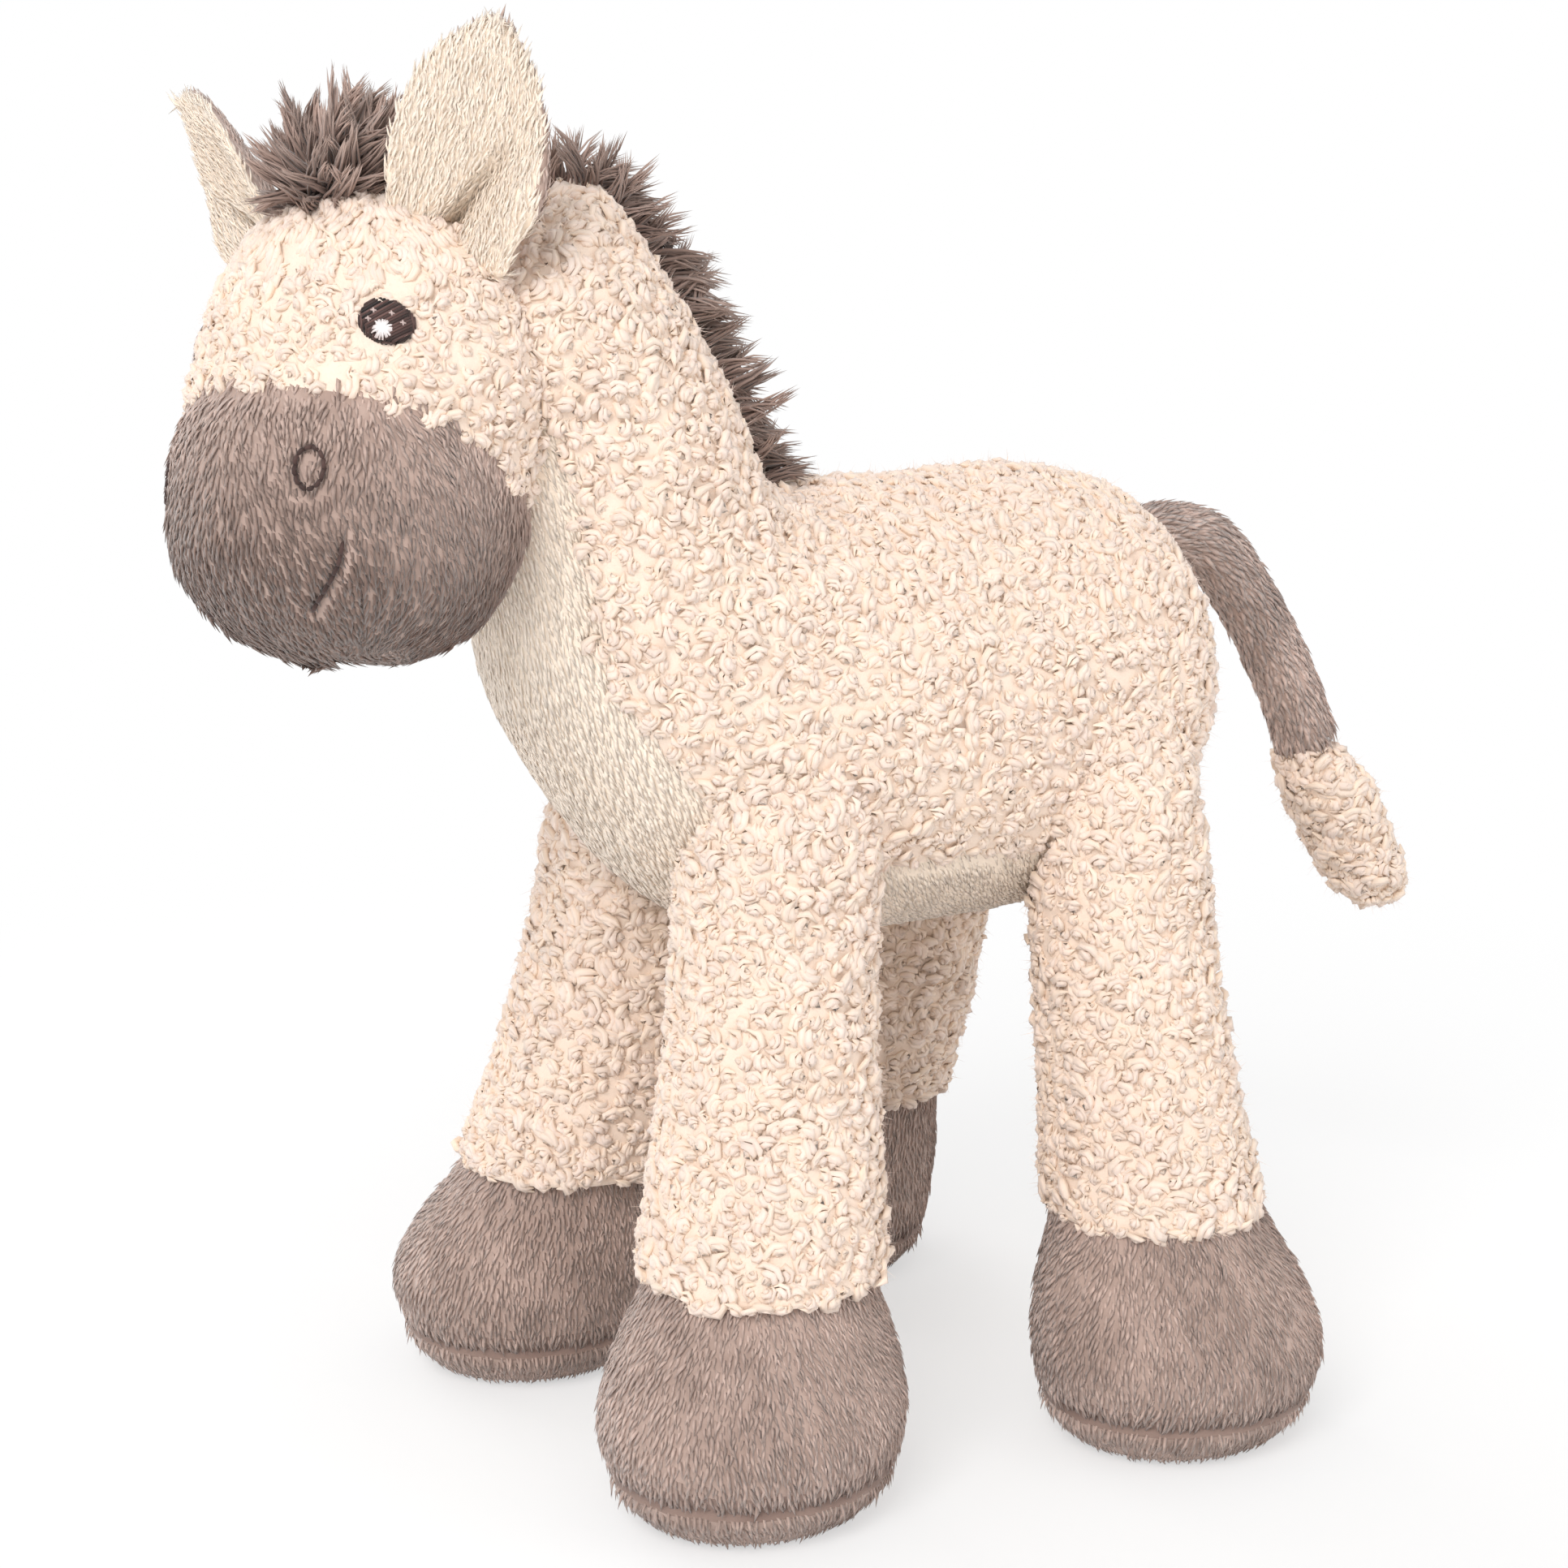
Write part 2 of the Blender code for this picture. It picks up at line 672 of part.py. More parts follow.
    def face_stitches(self):
        """Embroidered eyes with a glint, nostril rings and mouth lines, on both sides of the head."""
        loft = self.head
        made = []
        bottom = -COVER_INSET + SEAM_GAP
        row_length = np.linalg.norm(loft.ring(4)[0] - loft.ring(3)[0])
        for side, sign in (("left", 1), ("right", -1)):
            place, turn = EYE_SHARES
            angle = sign * turn * math.pi
            rows = EYE_HALF_HEIGHT / row_length
            wide = EYE_HALF_WIDTH / HEAD_HALF_WIDTH
            top = bottom + EYE_THICKNESS
            eye = patch(loft, place, angle, rows, wide, bottom, top)
            made.append(put(f"eye_{side}", *eye, self.dark, self.head_frame))
            up, across = GLINT_SHARES
            glint_rows = GLINT_RADIUS / row_length
            glint_wide = GLINT_RADIUS / HEAD_HALF_WIDTH
            glint = patch(
                loft,
                place + rows * up,
                angle - sign * wide * across,
                glint_rows,
                glint_wide,
                top + SEAM_GAP,
                top + SEAM_GAP + GLINT_THICKNESS,
                2,
                10,
            )
            made.append(put(f"eye_glint_{side}", *glint, self.white, self.head_frame))
            lift = bottom + THREAD_RADIUS
            place, turn = NOSTRIL_SHARES
            muzzle_row = np.linalg.norm(loft.ring(8)[0] - loft.ring(7)[0])
            ring = [
                loft.point(
                    place + NOSTRIL_HALF_HEIGHT / muzzle_row * math.cos(t),
                    sign * turn * math.pi + NOSTRIL_HALF_WIDTH / HEAD_HALF_WIDTH * math.sin(t),
                    lift,
                )
                for t in even(0, 2 * math.pi, 18)[:-1]
            ]
            made.append(
                put(f"nostril_{side}", *thread(ring, THREAD_RADIUS, True), self.dark, self.head_frame)
            )
            line = []
            for (a, b), (c, d) in zip(MOUTH_SHARES, MOUTH_SHARES[1:]):
                line += [(a + (c - a) * t, b + (d - b) * t) for t in even(0, 1, 3)[:-1]]
            line.append(MOUTH_SHARES[-1])
            points = [loft.point(row, sign * share * math.pi, lift) for row, share in line]
            made.append(
                put(f"mouth_{side}", *thread(points, THREAD_RADIUS, False), self.dark, self.head_frame)
            )
        return made

    def leg_loft(self, leg, rows_of):
        """A leg's rings lie level, each on the line that curves from its hip to its foot."""
        rows = []
        for height, way, wide, long in rows_of:
            x = leg.hip[0] + (leg.foot[0] - leg.hip[0]) * way
            y = leg.hip[1] + (leg.foot[1] - leg.hip[1]) * way
            rows.append(((x, y, height), (wide, 0, 0), (0, long, 0)))
        return rows

    def leg_pieces(self, leg):
        """One leg: sherpa sleeve, hoof upper, sole and filling, hung from its hip."""
        swing = (-SWING_OUT, 0, SWING_IN) if leg.fore else (-SWING_IN, 0, SWING_OUT)
        hip = Vector((leg.hip[0], leg.hip[1], HIP_HEIGHT))
        self.pivot(f"hip_{leg.name}", hip)
        room = self.trunk_room(f"trunk_room_{leg.name}", hip, [-a for a in swing], HIP_GAP)
        radius = FRONT_SLEEVE_RADIUS if leg.fore else HIND_SLEEVE_RADIUS
        sleeve_rows = [(h * LEG_HEIGHT, way, r * radius, r * radius) for h, way, r in SLEEVE_SHARES]
        sleeve_rows[-1] = (HEM_HEIGHT, *sleeve_rows[-1][1:])
        hoof_rows = [
            (height * HOOF_HEIGHT, way, wide * HOOF_HALF_WIDTH, long * HOOF_HALF_LENGTH)
            for height, way, wide, long in HOOF_SHARES
        ]
        hoof_rows[0] = (HEM_HEIGHT - SEAM_GAP, *hoof_rows[0][1:])
        hoof_rows[SOLE_ROW] = (SOLE_HEIGHT, *hoof_rows[SOLE_ROW][1:])
        sleeve = Loft(self.leg_loft(leg, sleeve_rows), False, False)
        hoof = Loft(self.leg_loft(leg, hoof_rows), False, False)
        made = []
        sleeve_places = even(0, len(sleeve_rows) - 1, 7)
        verts, faces = tube_shell(sleeve, sleeve_places, LEG_TURNS, -COVER_INSET, COVER_WALL)
        cover = put(f"sleeve_{leg.name}", above(verts, HEM_HEIGHT), faces, self.sherpa)
        made.append(cover)
        top_gap = SEAM_GAP / (hoof_rows[SOLE_ROW - 1][0] - hoof_rows[SOLE_ROW][0])
        upper_places = even(0, SOLE_ROW - top_gap, 5)
        upper = tube_shell(hoof, upper_places, LEG_TURNS, 0, COVER_WALL)
        made.append(put(f"hoof_{leg.name}", *upper, self.taupe))
        sole = tube_shell(hoof, SOLE_PLACES, LEG_TURNS, 0, COVER_WALL, 0.0)
        made.append(put(f"sole_{leg.name}", *sole, self.taupe))
        inner = COVER_WALL + FILL_GAP
        rings = [level(sleeve, place, LEG_TURNS, -COVER_INSET - inner) for place in sleeve_places[:-1]]
        below = upper_places + list(SOLE_PLACES[1:-1])
        rings += [level(hoof, place, LEG_TURNS, -inner, inner) for place in below]
        filling = put(f"filling_{leg.name}", *stack(rings), self.fibre)
        made.append(filling)
        for piece in (cover, filling):
            self.cut(piece, room)
        for piece in made:
            self.hang(piece, f"hip_{leg.name}")

    def tail_pieces(self):
        """Tail tube, its filling and the sherpa tuft, hung from the rump."""
        root = Vector((0, TAIL_ROOT_Y, TAIL_ROOT_Z))
        self.pivot("tail_root", root)
        room = self.trunk_room("rump_room", root, (-TAIL_UP, 0, TAIL_DOWN))
        rows = []
        for i, (y, z, r) in enumerate(TAIL_SHARES):
            before = TAIL_SHARES[max(i - 1, 0)]
            after = TAIL_SHARES[min(i + 1, len(TAIL_SHARES) - 1)]
            along = Vector((0, after[0] - before[0], after[1] - before[1])).normalized()
            deep = along.cross(ACROSS) * r * TAIL_RADIUS
            centre = (0, root.y + y * TAIL_LENGTH, root.z + z * TAIL_LENGTH)
            rows.append((centre, (r * TAIL_RADIUS, 0, 0), tuple(deep)))
        loft = Loft(rows, False, False)
        last = len(rows) - 1
        cover = put("tail_cover", *tube_shell(loft, even(0, last, 10), 12, 0, COVER_WALL), self.taupe)
        inner = -COVER_WALL - FILL_GAP
        past = FILL_GAP / np.linalg.norm(loft.ring(last)[0] - loft.ring(last - 1)[0])
        filling = put("tail_filling", *solid(loft, even(0, last - past, 10), 9, inner), self.fibre)
        end = rows[-1][0]
        tuft_rows = []
        for y, z, r in TUFT_SHARES:
            centre = (0, end[1] + y * TUFT_LENGTH, end[2] - SEAM_GAP + z * TUFT_LENGTH)
            tuft_rows.append((centre, (r * TUFT_RADIUS, 0, 0), (0, -r * TUFT_RADIUS, 0)))
        tuft_loft = Loft(tuft_rows)
        tuft = put("tail_tuft", *solid(tuft_loft, [0, 0.5] + even(1, 5, 6) + [5.5, 6], 14, 0), self.sherpa)
        tube_end = self.cutter("tube_end", solid(loft, [last - 1, last + past], 12, SEAM_GAP))
        self.cut(tuft, [tube_end])
        for piece in (cover, filling):
            self.cut(piece, room)
        for piece in (cover, filling, tuft):
            self.hang(piece, "tail_root")

    def ear_pieces(self, ear):
        """An ear's cream lining and taupe back, sewn round their edge and set in the head's side."""
        base = Vector((ear.side * EAR_BASE_X, EAR_BASE_Y, EAR_BASE_Z))
        stand = (
            Matrix.Rotation(ear.side * EAR_LEAN, 4, "Y")
            @ Matrix.Rotation(EAR_FORWARD, 4, "X")
            @ Matrix.Rotation(ear.side * EAR_FACING, 4, "Z")
        )
        frame = self.head_frame @ Matrix.Translation(base) @ stand
        axle = self.head_frame @ base
        self.pivot(f"ear_axle_{ear.name}", axle)
        head_shape = self.crown(-COVER_INSET + MOVING_GAP)
        axis = (frame.to_3x3() @ ACROSS).normalized()
        angles = (-EAR_FOLD, 0, EAR_FOLD)
        room = self.swept(f"head_room_{ear.name}", head_shape, axle, angles, self.head_frame, axis)
        pieces = (("ear_lining", 0.0, self.minky), ("ear_back", EAR_WALL + SEAM_GAP, self.taupe))
        for name, back, finish in pieces:
            grids = []
            for depth in (back, back + EAR_WALL):
                grid = []
                for along, wide, cup in EAR_SHARES:
                    for across in even(-1, 1, 8):
                        x = across * wide * EAR_HALF_WIDTH
                        y = -EAR_CUP * cup * across**2 * wide + depth
                        grid.append((x, y, along * EAR_LENGTH - EAR_CUP))
                grids.append(grid)
            shape = slab(grids[0], grids[1], len(EAR_SHARES), 9)
            piece = put(f"{name}_{ear.name}", *shape, finish, frame)
            self.cut(piece, room)
            self.hang(piece, f"ear_axle_{ear.name}")

    def long_pile(self):
        """The mane along the neck's back seam and the forelock on the crown."""
        loft = self.trunk
        low, high = (share * (loft.count - 1) for share in MANE_ROWS_SHARES)
        places = even(low, high, 2 * (len(MANE_SHARES) - 1))
        bottom = -COVER_INSET + SEAM_GAP
        grids = [[], []]
        for i, place in enumerate(places):
            near = MANE_SHARES[i // 2]
            height = (near + MANE_SHARES[min((i + 1) // 2, len(MANE_SHARES) - 1)]) / 2 * MANE_HEIGHT
            half = MANE_HALF_WIDTH / np.linalg.norm(loft.ring(place)[1])
            for across in even(-1, 1, 8):
                rise = math.sqrt(max(1 - across**2, 0.0)) * height
                grids[0].append(loft.point(place, across * half, bottom + THREAD_RADIUS + rise))
                grids[1].append(loft.point(place, across * half, bottom))
        mane = self.fix(put("mane", *slab(grids[0], grids[1], len(places), 9), self.pile))
        shape = self.crown(-COVER_INSET + MOVING_GAP)
        angles = (-NOD_UP, 0, NOD_DOWN)
        room = self.swept("mane_room", shape, self.head_axle, angles, self.head_frame)
        self.cut(mane, room)
        rows = []
        y = CROWN_Y - FORELOCK_FORWARD_SHARE * FORELOCK_RADIUS
        for rise, wide in zip(DOME_SHARES, FORELOCK_SHARES):
            centre = (0, y, CROWN_Z + (rise - FORELOCK_SINK_SHARE) * FORELOCK_HEIGHT)
            radius = wide * FORELOCK_RADIUS
            rows.append((centre, (radius, 0, 0), (0, radius, 0)))
        tuft = Loft(rows, False, True)
        forelock = put("forelock", *solid(tuft, even(0, 8, 10), 16, 0), self.pile, self.head_frame)
        under = self.cutter("crown_room", self.crown(-COVER_INSET + SEAM_GAP), self.head_frame)
        self.cut(forelock, [under])
        self.hang(forelock, "head_axle")


def build():
    """Clear the scene and make the horse."""
    for item in list(bpy.data.objects):
        bpy.data.objects.remove(item, do_unlink=True)
    horse = Horse()
    horse.trunk_pieces()
    horse.head_pieces()
    for ear in EARS:
        horse.ear_pieces(ear)
    for leg in LEGS:
        horse.leg_pieces(leg)
    horse.tail_pieces()
    horse.long_pile()
    bpy.context.view_layer.update()


build()
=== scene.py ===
"""A standing plush horse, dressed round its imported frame.

Every stuffed form is a loft through rings, covered by a cloth skin. Curled pile, short nap and long
hair are scattered over the skins with Geometry Nodes. Stitched details lie on the head's skin.
The horse faces -Y, its left side is +X, +Z is up and everything is in metres.
"""

from __future__ import annotations

import json
import logging
import math
from collections.abc import Callable, Iterable, Sequence
from dataclasses import dataclass
from enum import Enum

import bpy
import numpy as np
from mathutils import Matrix, Vector, noise
from mathutils.bvhtree import BVHTree

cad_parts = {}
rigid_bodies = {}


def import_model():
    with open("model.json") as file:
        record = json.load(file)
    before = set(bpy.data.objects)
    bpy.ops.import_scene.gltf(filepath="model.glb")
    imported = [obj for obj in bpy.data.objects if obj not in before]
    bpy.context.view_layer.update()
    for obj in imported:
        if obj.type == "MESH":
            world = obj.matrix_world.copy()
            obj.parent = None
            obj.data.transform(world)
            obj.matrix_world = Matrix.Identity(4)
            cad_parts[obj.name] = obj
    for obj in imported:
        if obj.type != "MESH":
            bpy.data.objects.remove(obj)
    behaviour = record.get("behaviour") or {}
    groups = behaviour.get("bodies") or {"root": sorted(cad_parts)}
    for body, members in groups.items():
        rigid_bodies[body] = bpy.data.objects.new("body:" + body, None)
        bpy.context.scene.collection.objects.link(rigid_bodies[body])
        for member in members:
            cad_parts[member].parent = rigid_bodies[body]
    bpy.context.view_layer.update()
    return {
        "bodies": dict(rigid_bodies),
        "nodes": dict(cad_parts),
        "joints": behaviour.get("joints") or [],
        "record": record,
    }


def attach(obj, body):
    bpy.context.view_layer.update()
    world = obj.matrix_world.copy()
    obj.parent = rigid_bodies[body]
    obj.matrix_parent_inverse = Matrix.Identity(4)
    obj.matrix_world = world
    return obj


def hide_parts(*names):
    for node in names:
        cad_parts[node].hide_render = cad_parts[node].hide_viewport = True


log = logging.getLogger("plush_horse")

Colour = tuple[float, float, float]
Row = tuple[float, ...]

STAND_Y = 0.0187
MILLIMETRE = 0.001
TURN = 2 * math.pi
SIDES = (("left", 1), ("right", -1))


class Slot(Enum):
    """The record's material slots."""

    SHERPA = "cream_sherpa"
    CREAM = "cream_minky"
    TAUPE = "taupe_minky"
    LONG = "taupe_long_pile"
    FIBRE = "fibre_filling"
    DARK = "dark_thread"
    WHITE = "white_thread"


class Cover(Enum):
    """What a finish is laid on, which says where its fibres run."""

    CLOTH = "cloth"
    PILE = "pile"
    THREAD = "thread"


@dataclass(frozen=True)
class Finish:
    """How one pile or thread looks.

    Args:
        slot: The record's material slot.
        root: Colour deep in the pile, painted as darker, warmer shade between the tufts.
        tip: Colour at the pile's ends.
        patch_and_shade: Colour that broad brushed patches lean to, and the painted shade colour where a
            pile's shade attribute asks for it.
        roughness: Roughness of the fibres.
        sheen: Strength of the soft sheen.
        patch_scale: Patches per metre.
        patch_share: How far the patches show, from 0 to 1.
        spread: How far single tufts differ in lightness.
        grain: Fibres per metre in the bump.
        bump: Height of the fibre bump in metres.
    """

    slot: Slot
    root: Colour
    tip: Colour
    patch_and_shade: Colour
    roughness: float = 0.95
    sheen: float = 0.25
    patch_scale: float = 60.0
    patch_share: float = 0.3
    spread: float = 0.12
    grain: float = 3600.0
    bump: float = 0.00009


# Root colours are painted shade, darker and warmer, deep between the tufts and at the thread ends. Each
# patch_and_shade colour serves both the brushed patches and the painted shade.
FINISHES: dict[str, Finish] = {
    "curl": Finish(
        Slot.SHERPA,
        (0.945, 0.772, 0.615),
        (0.908, 0.762, 0.676),
        (0.91, 0.735, 0.655),
        sheen=0.3,
        patch_share=0.5,
        spread=0.05,
        bump=0.00018,
    ),
    "cream_nap": Finish(
        Slot.CREAM,
        (0.965, 0.82, 0.665),
        (0.98, 0.862, 0.745),
        (0.76, 0.59, 0.43),
        patch_scale=50.0,
        patch_share=0.15,
        spread=0.08,
    ),
    "taupe_nap": Finish(
        Slot.TAUPE,
        (0.350, 0.245, 0.202),
        (0.690, 0.522, 0.452),
        (0.180, 0.117, 0.095),
        sheen=0.35,
        patch_scale=75.0,
        patch_share=0.42,
        spread=0.14,
    ),
    "long_hair": Finish(
        Slot.LONG,
        (0.150, 0.090, 0.072),
        (0.500, 0.365, 0.310),
        (0.270, 0.182, 0.152),
        sheen=0.3,
        patch_share=0.5,
        spread=0.2,
    ),
    "fibre": Finish(Slot.FIBRE, (0.6, 0.6, 0.58), (0.85, 0.85, 0.83), (0.8, 0.8, 0.78)),
    "dark_thread": Finish(
        Slot.DARK,
        (0.016, 0.007, 0.006),
        (0.095, 0.050, 0.043),
        (0.040, 0.020, 0.016),
        roughness=0.42,
        spread=0.9,
        bump=0.00005,
    ),
    "muzzle_thread": Finish(
        Slot.DARK,
        (0.025, 0.012, 0.010),
        (0.075, 0.040, 0.034),
        (0.050, 0.027, 0.022),
        roughness=0.55,
        spread=0.3,
        bump=0.00005,
    ),
    "white_thread": Finish(
        Slot.WHITE,
        (0.46, 0.33, 0.30),
        (0.94, 0.92, 0.92),
        (0.86, 0.84, 0.84),
        roughness=0.45,
        bump=0.00005,
    ),
}


def held(values: np.ndarray) -> np.ndarray:
    """Values held between 0 and 1."""
    return np.clip(values, 0, 1)


def ridge(values: np.ndarray, width: float) -> np.ndarray:
    """A soft ridge that is 1 where the values are 0 and fades out over a width."""
    return np.exp(-((values / width) ** 2))


def window(values: np.ndarray, low: float, high: float, soft: float) -> np.ndarray:
    """A mask that is 1 between two values and fades out over a soft edge."""
    return held((values - low) / soft + 0.5) * held((high - values) / soft + 0.5)


def unit(vectors: np.ndarray) -> np.ndarray:
    """Vectors brought to length one."""
    return vectors / np.maximum(np.linalg.norm(vectors, axis=1, keepdims=True), 1e-12)


def ripple(points: np.ndarray, scale: float, seed: float = 0.0) -> np.ndarray:
    """Smooth noise at points.

    Args:
        points: Points in metres.
        scale: Waves per metre.
        seed: Shift that gives another pattern.

    Returns:
        Values from about -1 to 1.
    """
    return np.array([noise.noise(Vector(p * scale) + Vector((seed, seed, seed))) for p in points])


def swirl(points: np.ndarray, scale: float, seeds: Row) -> np.ndarray:
    """Smooth noise vectors at points, with one seed for each axis."""
    return np.stack([ripple(points, scale, seed) for seed in seeds], axis=1)


def show(name: str, data: object) -> bpy.types.Object:
    """Put a mesh, lamp or camera into the scene.

    Args:
        name: The new object's name.
        data: What it shows.

    Returns:
        The new object.
    """
    made = bpy.data.objects.new(name, data)
    bpy.context.scene.collection.objects.link(made)
    return made


def store(mesh: bpy.types.Mesh, **attributes: object) -> None:
    """Store values at a mesh's points.

    Args:
        mesh: The mesh.
        attributes: For each attribute one number, a number for each point or a vector for each point.
    """
    for title, values in attributes.items():
        values = np.asarray(values, np.float32)
        if values.ndim == 2:
            data = mesh.attributes.new(title, "FLOAT_VECTOR", "POINT").data
            data.foreach_set("vector", np.ascontiguousarray(values).ravel())
        else:
            data = mesh.attributes.new(title, "FLOAT", "POINT").data
            data.foreach_set("value", np.ascontiguousarray(np.broadcast_to(values, len(mesh.vertices))))


class Graph:
    """Adds nodes to one tree and joins them by their sockets' names."""

    def __init__(self, tree: bpy.types.NodeTree) -> None:
        """Take over a tree."""
        self.tree = tree

    @staticmethod
    def socket(sockets: Iterable, name: str) -> bpy.types.NodeSocket:
        """The first enabled socket of a name among a node's inputs or outputs."""
        return next(s for s in sockets if s.name == name and s.enabled)

    def join(self, value: object, target: bpy.types.NodeSocket) -> None:
        """Link a socket or node to a target, or set the target's own value.

        Args:
            value: A socket, a node whose first enabled output is taken, or a plain value.
            target: The input socket.
        """
        if isinstance(value, bpy.types.Node):
            value = next(s for s in value.outputs if s.enabled)
        if isinstance(value, bpy.types.NodeSocket):
            self.tree.links.new(value, target)
        else:
            target.default_value = value

    def add(
        self, kind: str, inputs: dict[str, object] | None = None, **settings: object
    ) -> bpy.types.Node:
        """Add a node.

        Args:
            kind: The node's type name.
            inputs: Values or sources for its inputs, by name.
            settings: The node's own properties.

        Returns:
            The new node.
        """
        node = self.tree.nodes.new(kind)
        for name, value in settings.items():
            setattr(node, name, value)
        for name, value in (inputs or {}).items():
            self.join(value, self.socket(node.inputs, name))
        return node

    def group(self, tree: bpy.types.NodeTree, inputs: dict[str, object]) -> bpy.types.Node:
        """Place a shared group.

        Args:
            tree: The shared group.
            inputs: Values or sources for the group's inputs.

        Returns:
            The group's node.
        """
        node = self.tree.nodes.new("ShaderNodeGroup")
        node.node_tree = tree
        for name, value in inputs.items():
            self.join(value, node.inputs[name])
        return node

    def out(self, node: bpy.types.Node, name: str) -> bpy.types.NodeSocket:
        """A node's output by name."""
        return self.socket(node.outputs, name)

    def math(self, operation: str, first: object, second: object = 0.0) -> bpy.types.NodeSocket:
        """Add a scalar sum.

        Args:
            operation: The Math node's operation.
            first: First value or source.
            second: Second value or source.

        Returns:
            The result's socket.
        """
        node = self.tree.nodes.new("ShaderNodeMath")
        node.operation = operation
        self.join(first, node.inputs[0])
        self.join(second, node.inputs[1])
        return node.outputs[0]

    def vector(self, operation: str, first: object, second: object) -> bpy.types.NodeSocket:
        """Add a vector sum.

        Args:
            operation: The Vector Math node's operation. SCALE takes a number as second.
            first: First vector or source.
            second: Second vector, number or source.

        Returns:
            The result's socket.
        """
        node = self.tree.nodes.new("ShaderNodeVectorMath")
        node.operation = operation
        self.join(first, node.inputs[0])
        self.join(second, node.inputs["Scale"] if operation == "SCALE" else node.inputs[1])
        return node.outputs[0]


def new_group(
    name: str, kind: str, inputs: dict[str, tuple], output: tuple[str, str]
) -> tuple[Graph, dict[str, bpy.types.NodeSocket], bpy.types.NodeSocket]:
    """Start a node group with named inputs and one named output.

    Args:
        name: The group's name.
        kind: "ShaderNodeTree" or "GeometryNodeTree".
        inputs: For each input its socket type and, where it has one, its default.
        output: The output's name and socket type.

    Returns:
        The group's graph, its inputs by name and the socket that takes its result.
    """
    tree = bpy.data.node_groups.new(name, kind)
    for title, (socket_type, *default) in inputs.items():
        item = tree.interface.new_socket(
            name=title, in_out="INPUT", socket_type=f"NodeSocket{socket_type}"
        )
        if default:
            item.default_value = default[0]
    tree.interface.new_socket(name=output[0], in_out="OUTPUT", socket_type=f"NodeSocket{output[1]}")
    graph = Graph(tree)
    source = graph.add("NodeGroupInput")
    result = graph.add("NodeGroupOutput")
    return graph, {title: graph.out(source, title) for title in inputs}, result.inputs[output[0]]


